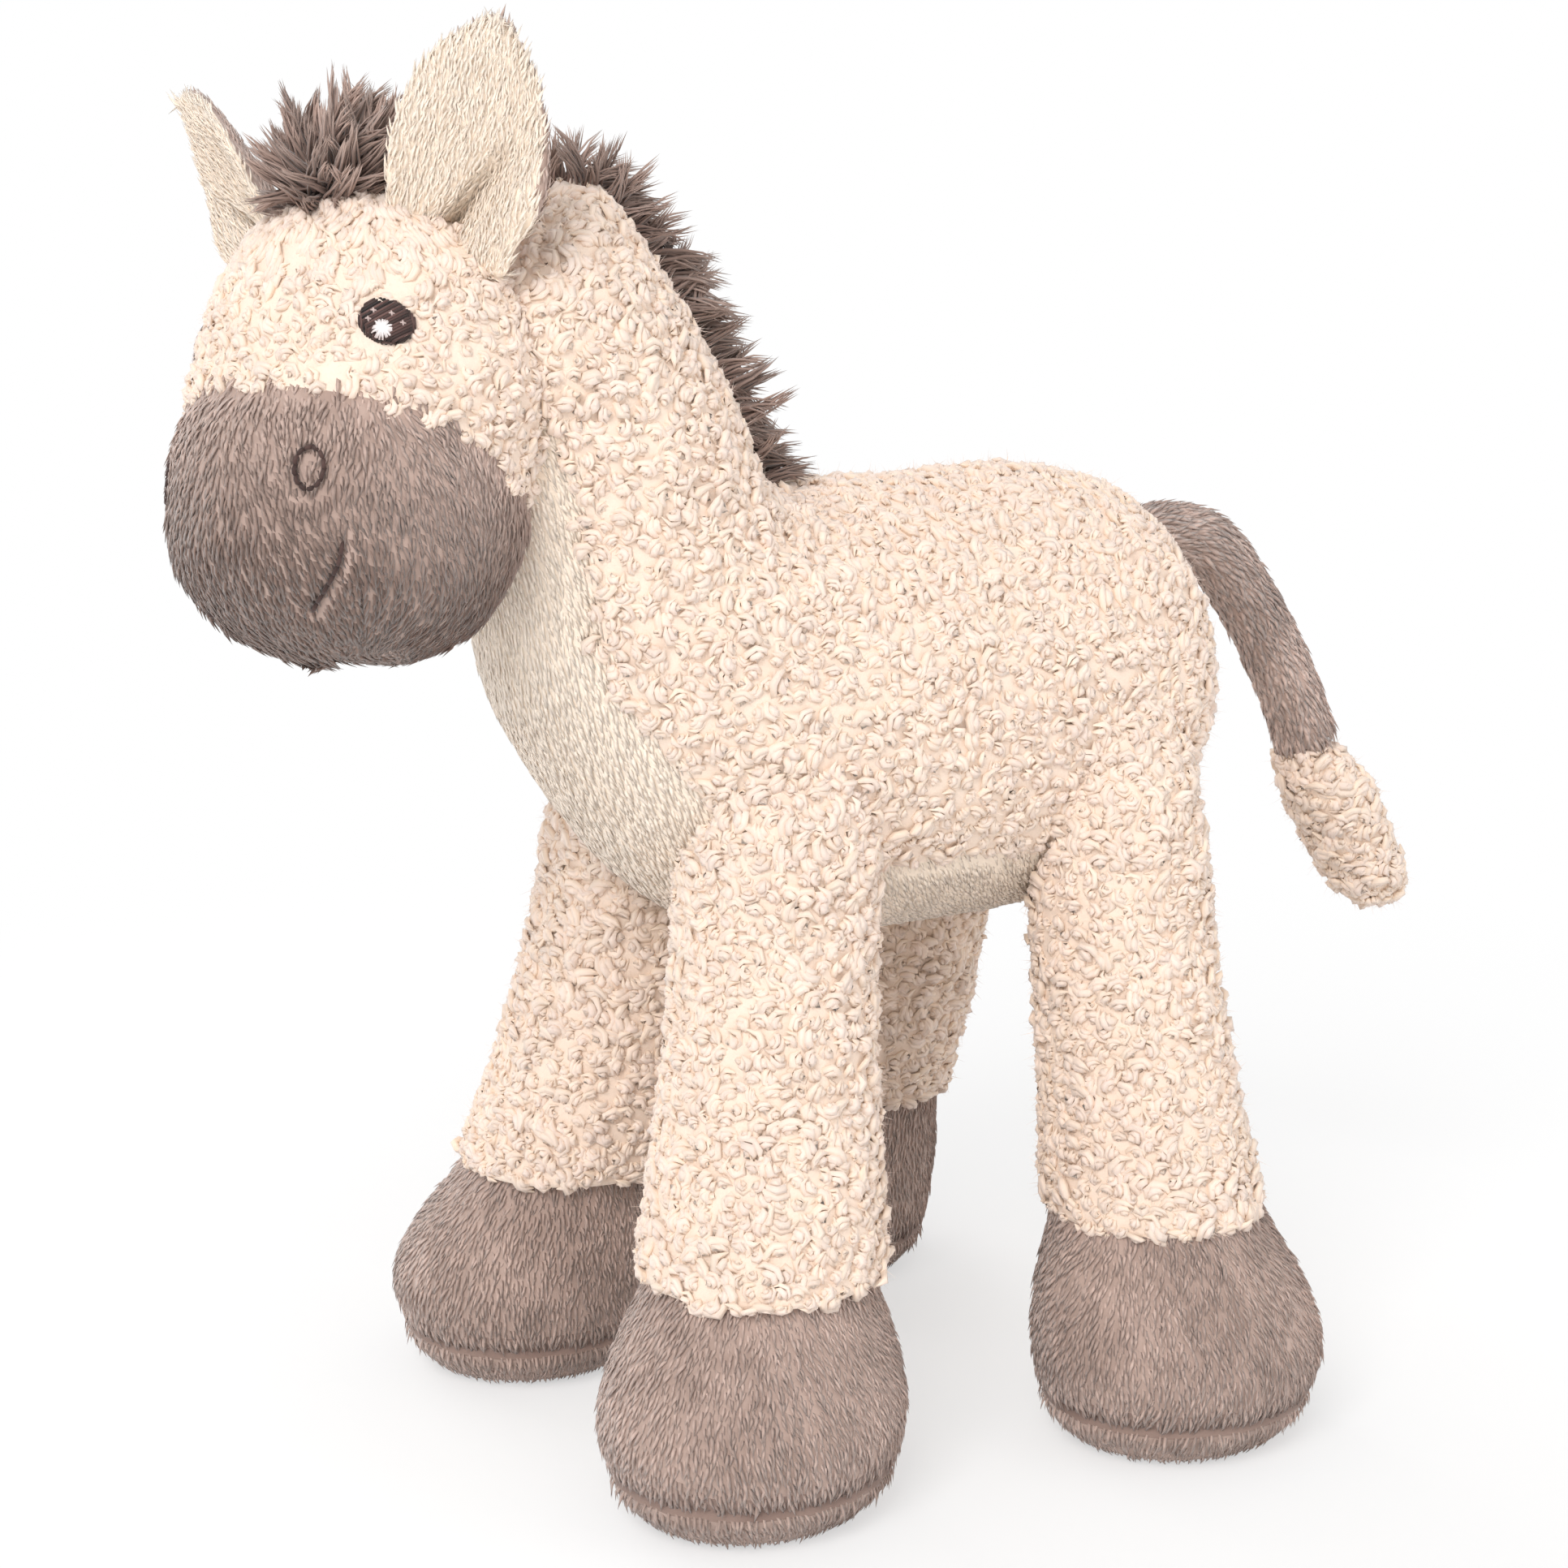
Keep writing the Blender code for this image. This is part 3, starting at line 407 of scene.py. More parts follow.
class Dyehouse:
    """Makes the materials. Its two shader groups are built once and shared by every finish."""

    def __init__(self) -> None:
        """Build the shared groups."""
        self.made: dict[tuple[str, Cover], bpy.types.Material] = {}
        self.colour_group = self.build_colour_group()
        self.fibre_group = self.build_fibre_group()

    def build_colour_group(self) -> bpy.types.NodeTree:
        """Colour of a pile: darker and warmer towards the root as painted depth shade, lighter or darker at
        random for each tuft, leaning to its brushed patches, and darker where its Shade input paints shade.

        Returns:
            The group, which puts out one colour.
        """
        inputs = {
            "Vector": ("Vector",),
            "Root": ("Color",),
            "Tip": ("Color",),
            "Patch": ("Color",),
            "Rise": ("Float", 1.0),
            "Tone": ("Float", 0.5),
            "Shade": ("Float", 0.0),
            "Strand": ("Float", 0.5),
            "Patch Scale": ("Float", 60.0),
            "Patch Share": ("Float", 0.3),
            "Spread": ("Float", 0.1),
        }
        graph, take, result = new_group("pile colour", "ShaderNodeTree", inputs, ("Color", "Color"))
        broad = graph.add(
            "ShaderNodeTexNoise",
            {"Vector": take["Vector"], "Scale": take["Patch Scale"], "Detail": 2.0, "Distortion": 0.6},
        )
        band = graph.add(
            "ShaderNodeMapRange",
            {"Value": graph.out(broad, "Fac"), "From Min": 0.38, "From Max": 0.64},
        )
        share = graph.math("MULTIPLY", graph.out(band, "Result"), take["Patch Share"])
        # Painted shade: where the Shade input is high, the pile takes its Patch colour fully.
        share = graph.math("MAXIMUM", share, take["Shade"])
        top = graph.add(
            "ShaderNodeMix",
            {"Factor": share, "A": take["Tip"], "B": take["Patch"]},
            data_type="RGBA",
        )
        # Painted depth shade: a low Rise takes the darker, warmer Root colour.
        deep = graph.add(
            "ShaderNodeMix",
            {"Factor": take["Rise"], "A": take["Root"], "B": graph.out(top, "Result")},
            data_type="RGBA",
        )
        swing = graph.math("MULTIPLY", graph.math("SUBTRACT", take["Tone"], 0.5), take["Spread"])
        light = graph.math("ADD", graph.math("MULTIPLY", swing, 2.0), 1.0)
        streak = graph.add(
            "ShaderNodeMapRange",
            {"Value": take["Strand"], "From Min": 0.3, "From Max": 0.6, "To Min": 0.93},
        )
        light = graph.math("MULTIPLY", light, graph.out(streak, "Result"))
        graph.join(graph.vector("SCALE", graph.out(deep, "Result"), light), result)
        return graph.tree

    def build_fibre_group(self) -> bpy.types.NodeTree:
        """Fine fibres as a height for a bump.

        Returns:
            The group, which puts out one height from 0 to 1.
        """
        inputs = {"Vector": ("Vector",), "Grain": ("Float", 2600.0)}
        graph, take, result = new_group("fibre grain", "ShaderNodeTree", inputs, ("Height", "Float"))
        layers = []
        for scale, weight in ((1.0, 0.35), (0.32, 0.65)):
            layer = graph.add(
                "ShaderNodeTexNoise",
                {
                    "Vector": take["Vector"],
                    "Scale": graph.math("MULTIPLY", take["Grain"], scale),
                    "Detail": 2.0,
                    "Roughness": 0.6,
                    "Distortion": 0.8,
                },
            )
            layers.append(graph.math("MULTIPLY", graph.out(layer, "Fac"), weight))
        graph.join(graph.math("ADD", *layers), result)
        return graph.tree

    def material(self, name: str, cover: Cover) -> bpy.types.Material:
        """A finish as a material.

        Args:
            name: The finish's name.
            cover: What it is laid on. Only pile and thread carry tuft attributes.

        Returns:
            The material, made once.
        """
        if (name, cover) in self.made:
            return self.made[name, cover]
        finish = FINISHES[name]
        made = bpy.data.materials.new(f"{name}_{cover.value}")
        made.use_nodes = True
        graph = Graph(made.node_tree)
        place = graph.out(graph.add("ShaderNodeTexCoord"), "Object")
        fibres = place
        # Bare cloth seen between the tufts is painted part way to the root colour, as shade.
        rise: object = 0.45
        tone: object = 0.5
        shade: object = 0.0
        if cover is not Cover.CLOTH:
            # The shade attribute paints shade, and on the hooves it also adds random mottle. The rise
            # attribute paints depth shade.
            rise, tone, shade = (
                graph.out(graph.add("ShaderNodeAttribute", attribute_name=title), "Fac")
                for title in ("rise", "tone", "shade")
            )
        if cover is Cover.PILE:
            yarn = graph.out(graph.add("ShaderNodeAttribute", attribute_name="yarn"), "Vector")
            apart = graph.vector("SCALE", (0.05, 0.03, 0.04), tone)
            fibres = graph.vector("ADD", yarn, apart)
        fibre = graph.group(self.fibre_group, {"Vector": fibres, "Grain": finish.grain})
        inputs = {
            "Vector": place,
            "Strand": fibre,
            "Root": (*finish.root, 1.0),
            "Tip": (*finish.tip, 1.0),
            "Patch": (*finish.patch_and_shade, 1.0),
            "Rise": rise,
            "Tone": tone,
            "Shade": shade,
            "Patch Scale": finish.patch_scale,
            "Patch Share": finish.patch_share,
            "Spread": finish.spread,
        }
        colour = graph.group(self.colour_group, inputs)
        bump = graph.add("ShaderNodeBump", {"Height": fibre, "Distance": finish.bump, "Strength": 1.0})
        shader = made.node_tree.nodes["Principled BSDF"]
        for title, value in {
            "Base Color": colour,
            "Normal": bump,
            "Roughness": finish.roughness,
            "Sheen Weight": finish.sheen,
            "Sheen Roughness": 0.5,
            "Specular IOR Level": 0.2,
        }.items():
            graph.join(value, shader.inputs[title])
        self.made[name, cover] = made
        return made


class Loft:
    """A soft form through rings. A row is its centre, its half width vector and its half depth vector."""

    def __init__(
        self, rows: Sequence[Sequence[Row]], frame: Matrix, rounded: bool = True
    ) -> None:
        """Place a form.

        Args:
            rows: The rings.
            frame: Where the form goes.
            rounded: Whether it closes smoothly over its first and last row.
        """
        turn = np.array(frame.to_3x3())
        table = np.array(rows, dtype=float) @ turn.T
        table[:, 0] += np.array(frame.translation)
        self.count = len(table)
        mirror = np.array((1.0, -1.0, -1.0))[:, None]
        first = table[1] * mirror if rounded else 2 * table[0] - table[1]
        last = table[-2] * mirror if rounded else 2 * table[-1] - table[-2]
        self.rows = np.array([first, *table, last])

    def rings(self, places: np.ndarray) -> np.ndarray:
        """Centre, width and depth at places along the rows.

        Args:
            places: Places from 0 to the number of rows less one.

        Returns:
            An array of rings, on a smooth curve through the rows.
        """
        low = np.minimum(places.astype(int), self.count - 2)
        part = (places - low)[:, None, None]
        a, b, c, d = (self.rows[low + i] for i in range(4))
        return 0.5 * (
            2 * b + (c - a) * part + (2 * a - 5 * b + 4 * c - d) * part**2 + (3 * b - a - 3 * c + d) * part**3
        )

    def raw(self, places: np.ndarray, angles: np.ndarray) -> np.ndarray:
        """Points of the form. Angle 0 is against the depth vector, a quarter turn is across."""
        ring = self.rings(places)
        return ring[:, 0] + ring[:, 1] * np.sin(angles)[:, None] - ring[:, 2] * np.cos(angles)[:, None]

    def tangents(self, places: np.ndarray, angles: np.ndarray) -> tuple[np.ndarray, np.ndarray]:
        """Directions along and around the form.

        Args:
            places: Places along the rows.
            angles: Angles round the form.

        Returns:
            Unit vectors along the rows, and unit outward normals.
        """
        step = 0.004
        near = np.clip(places, 3 * step, self.count - 1 - 3 * step)
        along = self.raw(near + step, angles) - self.raw(near - step, angles)
        around = self.raw(near, angles + step) - self.raw(near, angles - step)
        out = np.cross(around, along)
        flip = np.sum(out * (self.raw(near, angles) - self.rings(near)[:, 0]), axis=1) < 0
        out[flip] *= -1
        return unit(along), unit(out)

    def point(self, places: np.ndarray, angles: np.ndarray, grow: np.ndarray | float) -> np.ndarray:
        """Points that lie grow outside the form."""
        out = self.tangents(places, angles)[1]
        return self.raw(places, angles) + out * np.reshape(grow, (-1, 1))


@dataclass
class Skin:
    """A closed cloth form with what its pile needs at every point.

    Args:
        name: The skin's name.
        places: Place of each point along the rows.
        angles: Angle of each point.
        points: The points.
        along: Unit vectors along the form.
        normals: Outward unit vectors.
        faces: Faces as point numbers.
    """

    name: str
    places: np.ndarray
    angles: np.ndarray
    points: np.ndarray
    along: np.ndarray
    normals: np.ndarray
    faces: list[tuple[int, ...]]

    @classmethod
    def wrap(
        cls,
        name: str,
        loft: Loft,
        stations: Sequence[float],
        turns: int,
        grow: Callable[[np.ndarray, np.ndarray], np.ndarray] | float = 0.0,
        bend: Callable[[np.ndarray, np.ndarray], np.ndarray] | None = None,
    ) -> Skin:
        """Cover a loft from end to end.

        Args:
            name: The skin's name.
            loft: The form.
            stations: Places of its rings. The first and last close to a point.
            turns: Points round a ring.
            grow: How far outside the form it lies, or a rule from places and angles.
            bend: A rule that shapes the points further, from points and angles.

        Returns:
            The closed skin.
        """
        inner = np.array(stations[1:-1])
        count = len(inner)
        angles = np.concatenate([[0.0], np.tile(np.arange(turns) * TURN / turns, count), [0.0]])
        places = np.concatenate([[stations[0]], np.repeat(inner, turns), [stations[-1]]])
        shift = grow(places, angles) if callable(grow) else np.full(len(places), grow)
        along, out = loft.tangents(places, angles)
        points = loft.raw(places, angles) + out * shift[:, None]
        points[0] = points[1 : 1 + turns].mean(axis=0)
        points[-1] = points[-1 - turns : -1].mean(axis=0)
        if bend is not None:
            points = bend(points, angles)
        faces: list[tuple[int, ...]] = []
        last = len(places) - 1
        for j in range(turns):
            k = (j + 1) % turns
            faces.append((0, 1 + j, 1 + k))
            for i in range(count - 1):
                a = 1 + i * turns
                faces.append((a + j, a + turns + j, a + turns + k, a + k))
            end = last - turns
            faces.append((end + j, last, end + k))
        skin = cls(name, places, angles, points, along, out, faces)
        skin.settle()
        return skin

    def settle(self) -> None:
        """Turn the faces outward and read the normals from them."""
        mesh = self.mesh()
        volume = sum(
            mesh.vertices[p.vertices[0]].co.dot(
                mesh.vertices[p.vertices[i]].co.cross(mesh.vertices[p.vertices[i + 1]].co)
            )
            for p in mesh.polygons
            for i in range(1, len(p.vertices) - 1)
        )
        if volume < 0:
            self.faces = [tuple(reversed(face)) for face in self.faces]
            mesh = self.mesh()
        found = np.zeros(len(mesh.vertices) * 3)
        mesh.vertex_normals.foreach_get("vector", found)
        self.normals = found.reshape(-1, 3)
        bpy.data.meshes.remove(mesh)

    def mesh(self) -> bpy.types.Mesh:
        """The skin as a smooth mesh."""
        made = bpy.data.meshes.new(self.name)
        made.from_pydata(self.points.tolist(), [], self.faces)
        made.update()
        made.shade_smooth()
        return made

    def tree(self) -> BVHTree:
        """The skin as a search tree."""
        return BVHTree.FromPolygons(self.points.tolist(), self.faces)

    def lay(self, direction: np.ndarray) -> np.ndarray:
        """Directions laid down on the surface.

        Args:
            direction: One direction, or one for each point.

        Returns:
            Unit vectors along the surface.
        """
        flat = np.broadcast_to(direction, self.points.shape)
        return unit(flat - self.normals * np.sum(flat * self.normals, axis=1, keepdims=True))


def depth_inside(points: np.ndarray, form: BVHTree) -> np.ndarray:
    """How deep points lie in a closed form.

    Args:
        points: The points.
        form: The form's search tree.

    Returns:
        Depth in metres, negative outside.
    """
    depths = np.zeros(len(points))
    for i, point in enumerate(points):
        near, normal, _, distance = form.find_nearest(Vector(point))
        depths[i] = distance if (Vector(point) - near).dot(normal) < 0 else -distance
    return depths


class Shape:
    """Points and faces of one small shape, with the attributes that its material reads."""

    def __init__(self) -> None:
        """Start empty."""
        self.verts: list[np.ndarray] = []
        self.faces: list[tuple[int, ...]] = []
        self.rise: list[float] = []
        self.yarn: list[tuple[float, float, float]] = []

    def tube(
        self, centres: np.ndarray, radii: Sequence[float], sides: int, flat: float = 1.0
    ) -> None:
        """Add a tapered tube along points. Its foot, which the cloth hides, stays open.

        Args:
            centres: Points of its middle line.
            radii: Radius at each point. A last radius of 0 makes a point.
            sides: Sides of the tube.
            flat: Share of its width that its height has.
        """
        across = np.array((0.0, 1.0, 0.0))
        count = len(centres)
        start = len(self.verts)
        walked = 0.0
        for i in range(count):
            walked += float(np.linalg.norm(centres[i] - centres[max(i - 1, 0)]))
            along = centres[min(i + 1, count - 1)] - centres[max(i - 1, 0)]
            along = along / max(np.linalg.norm(along), 1e-9)
            across = across - along * np.dot(across, along)
            across = across / max(np.linalg.norm(across), 1e-9)
            up = np.cross(along, across)
            if i == count - 1 and radii[i] == 0:
                self.verts.append(centres[i])
                self.yarn.append((0.15 * walked, 0.0, 0.0))
                break
            for j in range(sides):
                turn = TURN * j / sides
                side = (math.cos(turn) * radii[i], math.sin(turn) * radii[i])
                self.verts.append(centres[i] + across * side[0] + up * side[1] * flat)
                self.yarn.append((0.15 * walked, *side))
        rings = (len(self.verts) - start) // sides
        for i in range(rings - 1):
            a = start + i * sides
            for j in range(sides):
                k = (j + 1) % sides
                self.faces.append((a + j, a + k, a + sides + k, a + sides + j))
        end = start + (rings - 1) * sides
        if radii[-1] == 0:
            tip = len(self.verts) - 1
            self.faces += [(end + j, end + (j + 1) % sides, tip) for j in range(sides)]
        else:
            self.faces.append(tuple(end + j for j in range(sides)))

    def stray(self, foot: np.ndarray, tip: np.ndarray) -> None:
        """Add one fine stray fibre.

        Args:
            foot: Where it leaves the yarn.
            tip: Where it ends.
        """
        side = np.cross(tip - foot, (0.3, 0.5, 0.8))
        side = side / max(np.linalg.norm(side), 1e-9) * 0.045 * MILLIMETRE
        start = len(self.verts)
        self.verts += [foot - side, foot + side, tip]
        self.faces.append((start, start + 1, start + 2))
        self.rise += [0.8, 0.8, 1.0]
        self.yarn += [(0.0, 0.0, 0.0)] * 3


class Templates:
    """Small shapes that the pile is made of, each kind with a few variants in its own collection."""

    strays = 9
    curl_taper = np.array([0.2, 1.05, 1.15, 0.95, 0.12])
    lock_taper = np.array([1.0, 1.0, 0.85, 0.6, 0.0])

    def __init__(self) -> None:
        """Start with none."""
        self.collections: dict[str, bpy.types.Collection] = {}

    def keep(self, kind: str, index: int, shape: Shape) -> None:
        """Keep one variant.

        Args:
            kind: The collection's name.
            index: The variant's number.
            shape: Its points, faces, heights and yarn coordinates.
        """
        if kind not in self.collections:
            self.collections[kind] = bpy.data.collections.new(kind)
        mesh = bpy.data.meshes.new(f"{kind}_{index}")
        mesh.from_pydata([tuple(v) for v in shape.verts], [], shape.faces)
        mesh.update()
        mesh.shade_smooth()
        store(mesh, rise=shape.rise, yarn=shape.yarn)
        self.collections[kind].objects.link(bpy.data.objects.new(mesh.name, mesh))

    def curls(self, kind: str, variants: int, seed: int, reach: tuple[float, float], stretch: float) -> None:
        """Short curled yarns that stand on the cloth like small knots, with a few stray fibres.

        Args:
            kind: The collection's name.
            variants: How many to make.
            seed: Seed of their shapes.
            reach: Least and greatest length of the yarn in metres.
            stretch: How straight they hang, from 0 to 1.
        """
        chance = np.random.default_rng(seed)
        t = np.linspace(0, 1, 5)
        for index in range(variants):
            sweep = chance.uniform(0.3, 0.72) * TURN * (1 - 0.6 * stretch)
            long = chance.uniform(*reach)
            turn = 0.0 if stretch else chance.uniform(0, TURN)
            hand = chance.choice((-1, 1))
            peak = chance.uniform(1.1, 1.9)
            shape = Shape()
            strands = []
            for k in (-1, 0, 1):
                angle = math.pi / 2 - sweep / 2 + (t + chance.uniform(-0.12, 0.12)) * sweep + turn
                radius = (long / sweep + k * chance.uniform(0.85, 1.15) * MILLIMETRE) * (1.1 - 0.25 * t)
                z = peak * np.sin(math.pi * (0.08 + 0.74 * t)) - 0.7 - 0.25 * k * k
                z = z + 0.22 * np.sin(TURN * t + 2.1 * k) + chance.normal(0, 0.08, len(t))
                path = (-radius * np.cos(angle), hand * radius * np.sin(angle), z * MILLIMETRE)
                strands.append(np.stack(path, axis=1))
            middle = np.mean(strands, axis=(0, 1)) * (1, 1, 0)
            for strand in strands:
                shape.tube(strand - middle, chance.uniform(0.62, 0.78) * MILLIMETRE * self.curl_taper, 4)
            # A curl's lower parts get a low rise, which paints shade near the cloth.
            shape.rise = [min(max((v[2] / MILLIMETRE + 0.3) / 1.9, 0.0), 1.0) for v in shape.verts]
            for _ in range(self.strays):
                foot = strands[chance.integers(0, 3)][chance.integers(1, 5)] - middle
                way = chance.normal(0, 1, 3) + np.array((0.3, 0, 1.1))
                way /= np.linalg.norm(way)
                foot = foot + way * 0.5 * MILLIMETRE
                reached = (way + chance.normal(0, 0.5, 3)) * chance.uniform(0.8, 2.0) * MILLIMETRE
                shape.stray(foot, foot + reached)
            self.keep(kind, index, shape)

    def nap(self, kind: str, variants: int, seed: int, length: float, width: float, lift: float) -> None:
        """Short flat tufts that lean over along X.

        Args:
            kind: The collection's name.
            variants: How many to make.
            seed: Seed of their shapes.
            length: Their length in metres.
            width: Their half width in metres.
            lift: Height of their tips as a share of their length.
        """
        chance = np.random.default_rng(seed)
        for index in range(variants):
            reach = length * chance.uniform(0.8, 1.15)
            high = length * lift * chance.uniform(0.7, 1.3)
            sway = length * chance.uniform(-0.25, 0.25)
            knee = (0.42 * reach, 0.3 * sway, 0.8 * high)
            centres = np.array([(0, 0, -0.1 * length), knee, (reach, sway, high)])
            shape = Shape()
            shape.tube(centres, [width, width, 0], 3, 0.5)
            # A tuft's foot gets a low rise, which paints shade near the cloth.
            shape.rise = [0.3] * 3 + [0.8] * 3 + [1.0]
            self.keep(kind, index, shape)

    def locks(self, kind: str, variants: int, seed: int, length: float, spread: float, strands: int) -> None:
        """Pointed locks of long hair that stand up and lean over along X.

        Args:
            kind: The collection's name.
            variants: How many to make.
            seed: Seed of their shapes.
            length: Their length in metres.
            spread: Half width of a lock's foot in metres.
            strands: Strands in a lock.
        """
        chance = np.random.default_rng(seed)
        for index in range(variants):
            shape = Shape()
            bend = chance.uniform(0.15, 0.5) * length
            for _ in range(strands):
                foot = np.array((*chance.normal(0, spread, 2), 0.0))
                tip = np.array((*chance.normal(0, spread * 0.4, 2), 0.0))
                tall = length * chance.uniform(0.7, 1.1)
                t = np.linspace(0, 1, 5)[:, None]
                lean = np.array((1.0, 0, 0)) * bend * t**2
                climb = np.array((0, 0, 1.0)) * tall * (t - 0.12 * t**2)
                path = foot * (1 - t) + tip * t + lean + climb
                path[1:-1] += chance.normal(0, 0.12 * MILLIMETRE, (3, 3))
                path[0, 2] -= MILLIMETRE
                thick = chance.uniform(0.24, 0.40) * MILLIMETRE
                shape.tube(path, thick * self.lock_taper, 3)
                # A strand's foot gets a low rise, which paints shade at the lock's root.
                shape.rise += [0.05] * 3 + [0.35] * 3 + [0.65] * 3 + [0.9] * 3 + [1.0]
            self.keep(kind, index, shape)

    def clear(self) -> None:
        """Remove the small shapes once the piles are made."""
        for collection in self.collections.values():
            for item in list(collection.objects):
                bpy.data.objects.remove(item)
            bpy.data.collections.remove(collection)
        self.collections.clear()


@dataclass(frozen=True)
class PileRule:
    """How one kind of pile is scattered.

    Args:
        finish: The finish's name.
        shapes: The collection of small shapes.
        spacing: Least distance between tufts in metres.
        density: Most tufts on a square metre.
        lean: How far tufts lean along the nap.
        jitter: How far their directions vary.
        follow: How closely they turn along the nap, from 0 to 1.
        smallest: Least size.
        largest: Greatest size.
        crumple: How far single points shift, in metres.
    """

    finish: str
    shapes: str
    spacing: float
    density: float
    lean: float = 0.0
    jitter: float = 0.2
    follow: float = 1.0
    smallest: float = 0.8
    largest: float = 1.2
    crumple: float = 0.0


def run_tree(
    name: str, mesh: bpy.types.Mesh, tree: bpy.types.NodeTree, values: dict[str, object]
) -> bpy.types.Object:
    """Run a Geometry Nodes tree on a mesh and keep the result as plain mesh.

    Args:
        name: Name of the new object.
        mesh: The mesh that goes in. It is removed.
        tree: The tree.
        values: Its inputs by name.

    Returns:
        The new object.
    """
    carrier = show(f"{name}_carrier", mesh)
    modifier = carrier.modifiers.new("grow", "NODES")
    modifier.node_group = tree
    for item in tree.interface.items_tree:
        if item.in_out == "INPUT" and item.name in values:
            modifier[item.identifier] = values[item.name]
    bpy.context.view_layer.update()
    made = bpy.data.meshes.new_from_object(carrier.evaluated_get(bpy.context.evaluated_depsgraph_get()))
    made.name = name
    bpy.data.objects.remove(carrier)
    bpy.data.meshes.remove(mesh)
    return show(name, made)


class PileMachine:
    """One Geometry Nodes tree that grows every pile, and the objects that it leaves."""

    def __init__(self, dyes: Dyehouse, templates: Templates) -> None:
        """Build the tree.

        Args:
            dyes: Where materials come from.
            templates: Where the small shapes come from.
        """
        self.dyes = dyes
        self.templates = templates
        self.tree = self.build_tree()

    def build_tree(self) -> bpy.types.NodeTree:
        """The scatter tree.

        Returns:
            A tree from a skin to a plain mesh of pile.
        """
        inputs = {
            "Geometry": ("Geometry",),
            "Shapes": ("Collection",),
            "Spacing": ("Float", 0.002),
            "Density": ("Float", 1e6),
            "Lean": ("Float", 0.0),
            "Jitter": ("Float", 0.2),
            "Follow": ("Float", 1.0),
            "Smallest": ("Float", 0.8),
            "Largest": ("Float", 1.2),
            "Crumple": ("Float", 0.0),
            "Seed": ("Int", 0),
            "Finish": ("Material",),
        }
        output = ("Geometry", "Geometry")
        graph, take, result = new_group("grow pile", "GeometryNodeTree", inputs, output)

        def stored(name: str, kind: str) -> bpy.types.NodeSocket:
            """A named attribute of the skin."""
            node = graph.add("GeometryNodeInputNamedAttribute", data_type=kind)
            node.inputs["Name"].default_value = name
            return graph.out(node, "Attribute")

        def chance(kind: str, low: object, high: object, seed: int) -> bpy.types.NodeSocket:
            """A random value for each tuft."""
            seeds = graph.math("ADD", take["Seed"], float(seed))
            values = {"Min": low, "Max": high, "Seed": seeds}
            return graph.out(graph.add("FunctionNodeRandomValue", values, data_type=kind), "Value")

        nap = stored("nap", "FLOAT_VECTOR")
        scatter = graph.add("GeometryNodeDistributePointsOnFaces", distribute_method="POISSON")
        for name, value in {
            "Mesh": take["Geometry"],
            "Distance Min": take["Spacing"],
            "Density Max": take["Density"],
            "Density Factor": stored("pile", "FLOAT"),
            "Seed": take["Seed"],
        }.items():
            graph.join(value, graph.socket(scatter.inputs, name))
        low, high = (-1.0, -1.0, -1.0), (1.0, 1.0, 1.0)
        tilt = graph.vector("SCALE", chance("FLOAT_VECTOR", low, high, 1), take["Jitter"])
        up = graph.vector("ADD", graph.out(scatter, "Normal"), graph.vector("SCALE", nap, take["Lean"]))
        up = graph.vector("ADD", up, tilt)
        loose = graph.math("SUBTRACT", 1.0, take["Follow"])
        side = graph.vector("SCALE", chance("FLOAT_VECTOR", low, high, 2), loose)
        side = graph.vector("ADD", graph.vector("SCALE", nap, take["Follow"]), side)
        side = graph.vector("ADD", side, tilt)
        turn = graph.add("FunctionNodeAxesToRotation", primary_axis="Z", secondary_axis="X")
        graph.join(up, turn.inputs[0])
        graph.join(side, turn.inputs[1])
        size = chance("FLOAT", take["Smallest"], take["Largest"], 3)
        size = graph.math("MULTIPLY", size, stored("size", "FLOAT"))
        shapes = graph.add(
            "GeometryNodeCollectionInfo",
            {"Collection": take["Shapes"], "Separate Children": True},
        )
        placed = graph.add(
            "GeometryNodeInstanceOnPoints",
            {
                "Points": graph.out(scatter, "Points"),
                "Instance": graph.out(shapes, "Instances"),
                "Pick Instance": True,
                "Rotation": graph.out(turn, "Rotation"),
                "Scale": size,
            },
        )
        toned = graph.add(
            "GeometryNodeStoreNamedAttribute",
            {"Geometry": placed, "Name": "tone", "Value": chance("FLOAT", 0.0, 1.0, 4)},
            data_type="FLOAT",
            domain="INSTANCE",
        )
        real = graph.add("GeometryNodeRealizeInstances", {"Geometry": toned})
        here = graph.out(graph.add("GeometryNodeInputPosition"), "Position")
        waves = graph.add("ShaderNodeTexNoise", {"Vector": here, "Scale": 420.0, "Detail": 1.0})
        shift = graph.vector("SUBTRACT", graph.out(waves, "Color"), (0.5, 0.5, 0.5))
        shift = graph.vector("SCALE", shift, graph.math("MULTIPLY", take["Crumple"], 2.0))
        moved = graph.add("GeometryNodeSetPosition", {"Geometry": real, "Offset": shift})
        dressed = {"Geometry": moved, "Material": take["Finish"]}
        graph.join(graph.add("GeometryNodeSetMaterial", dressed), result)
        return graph.tree

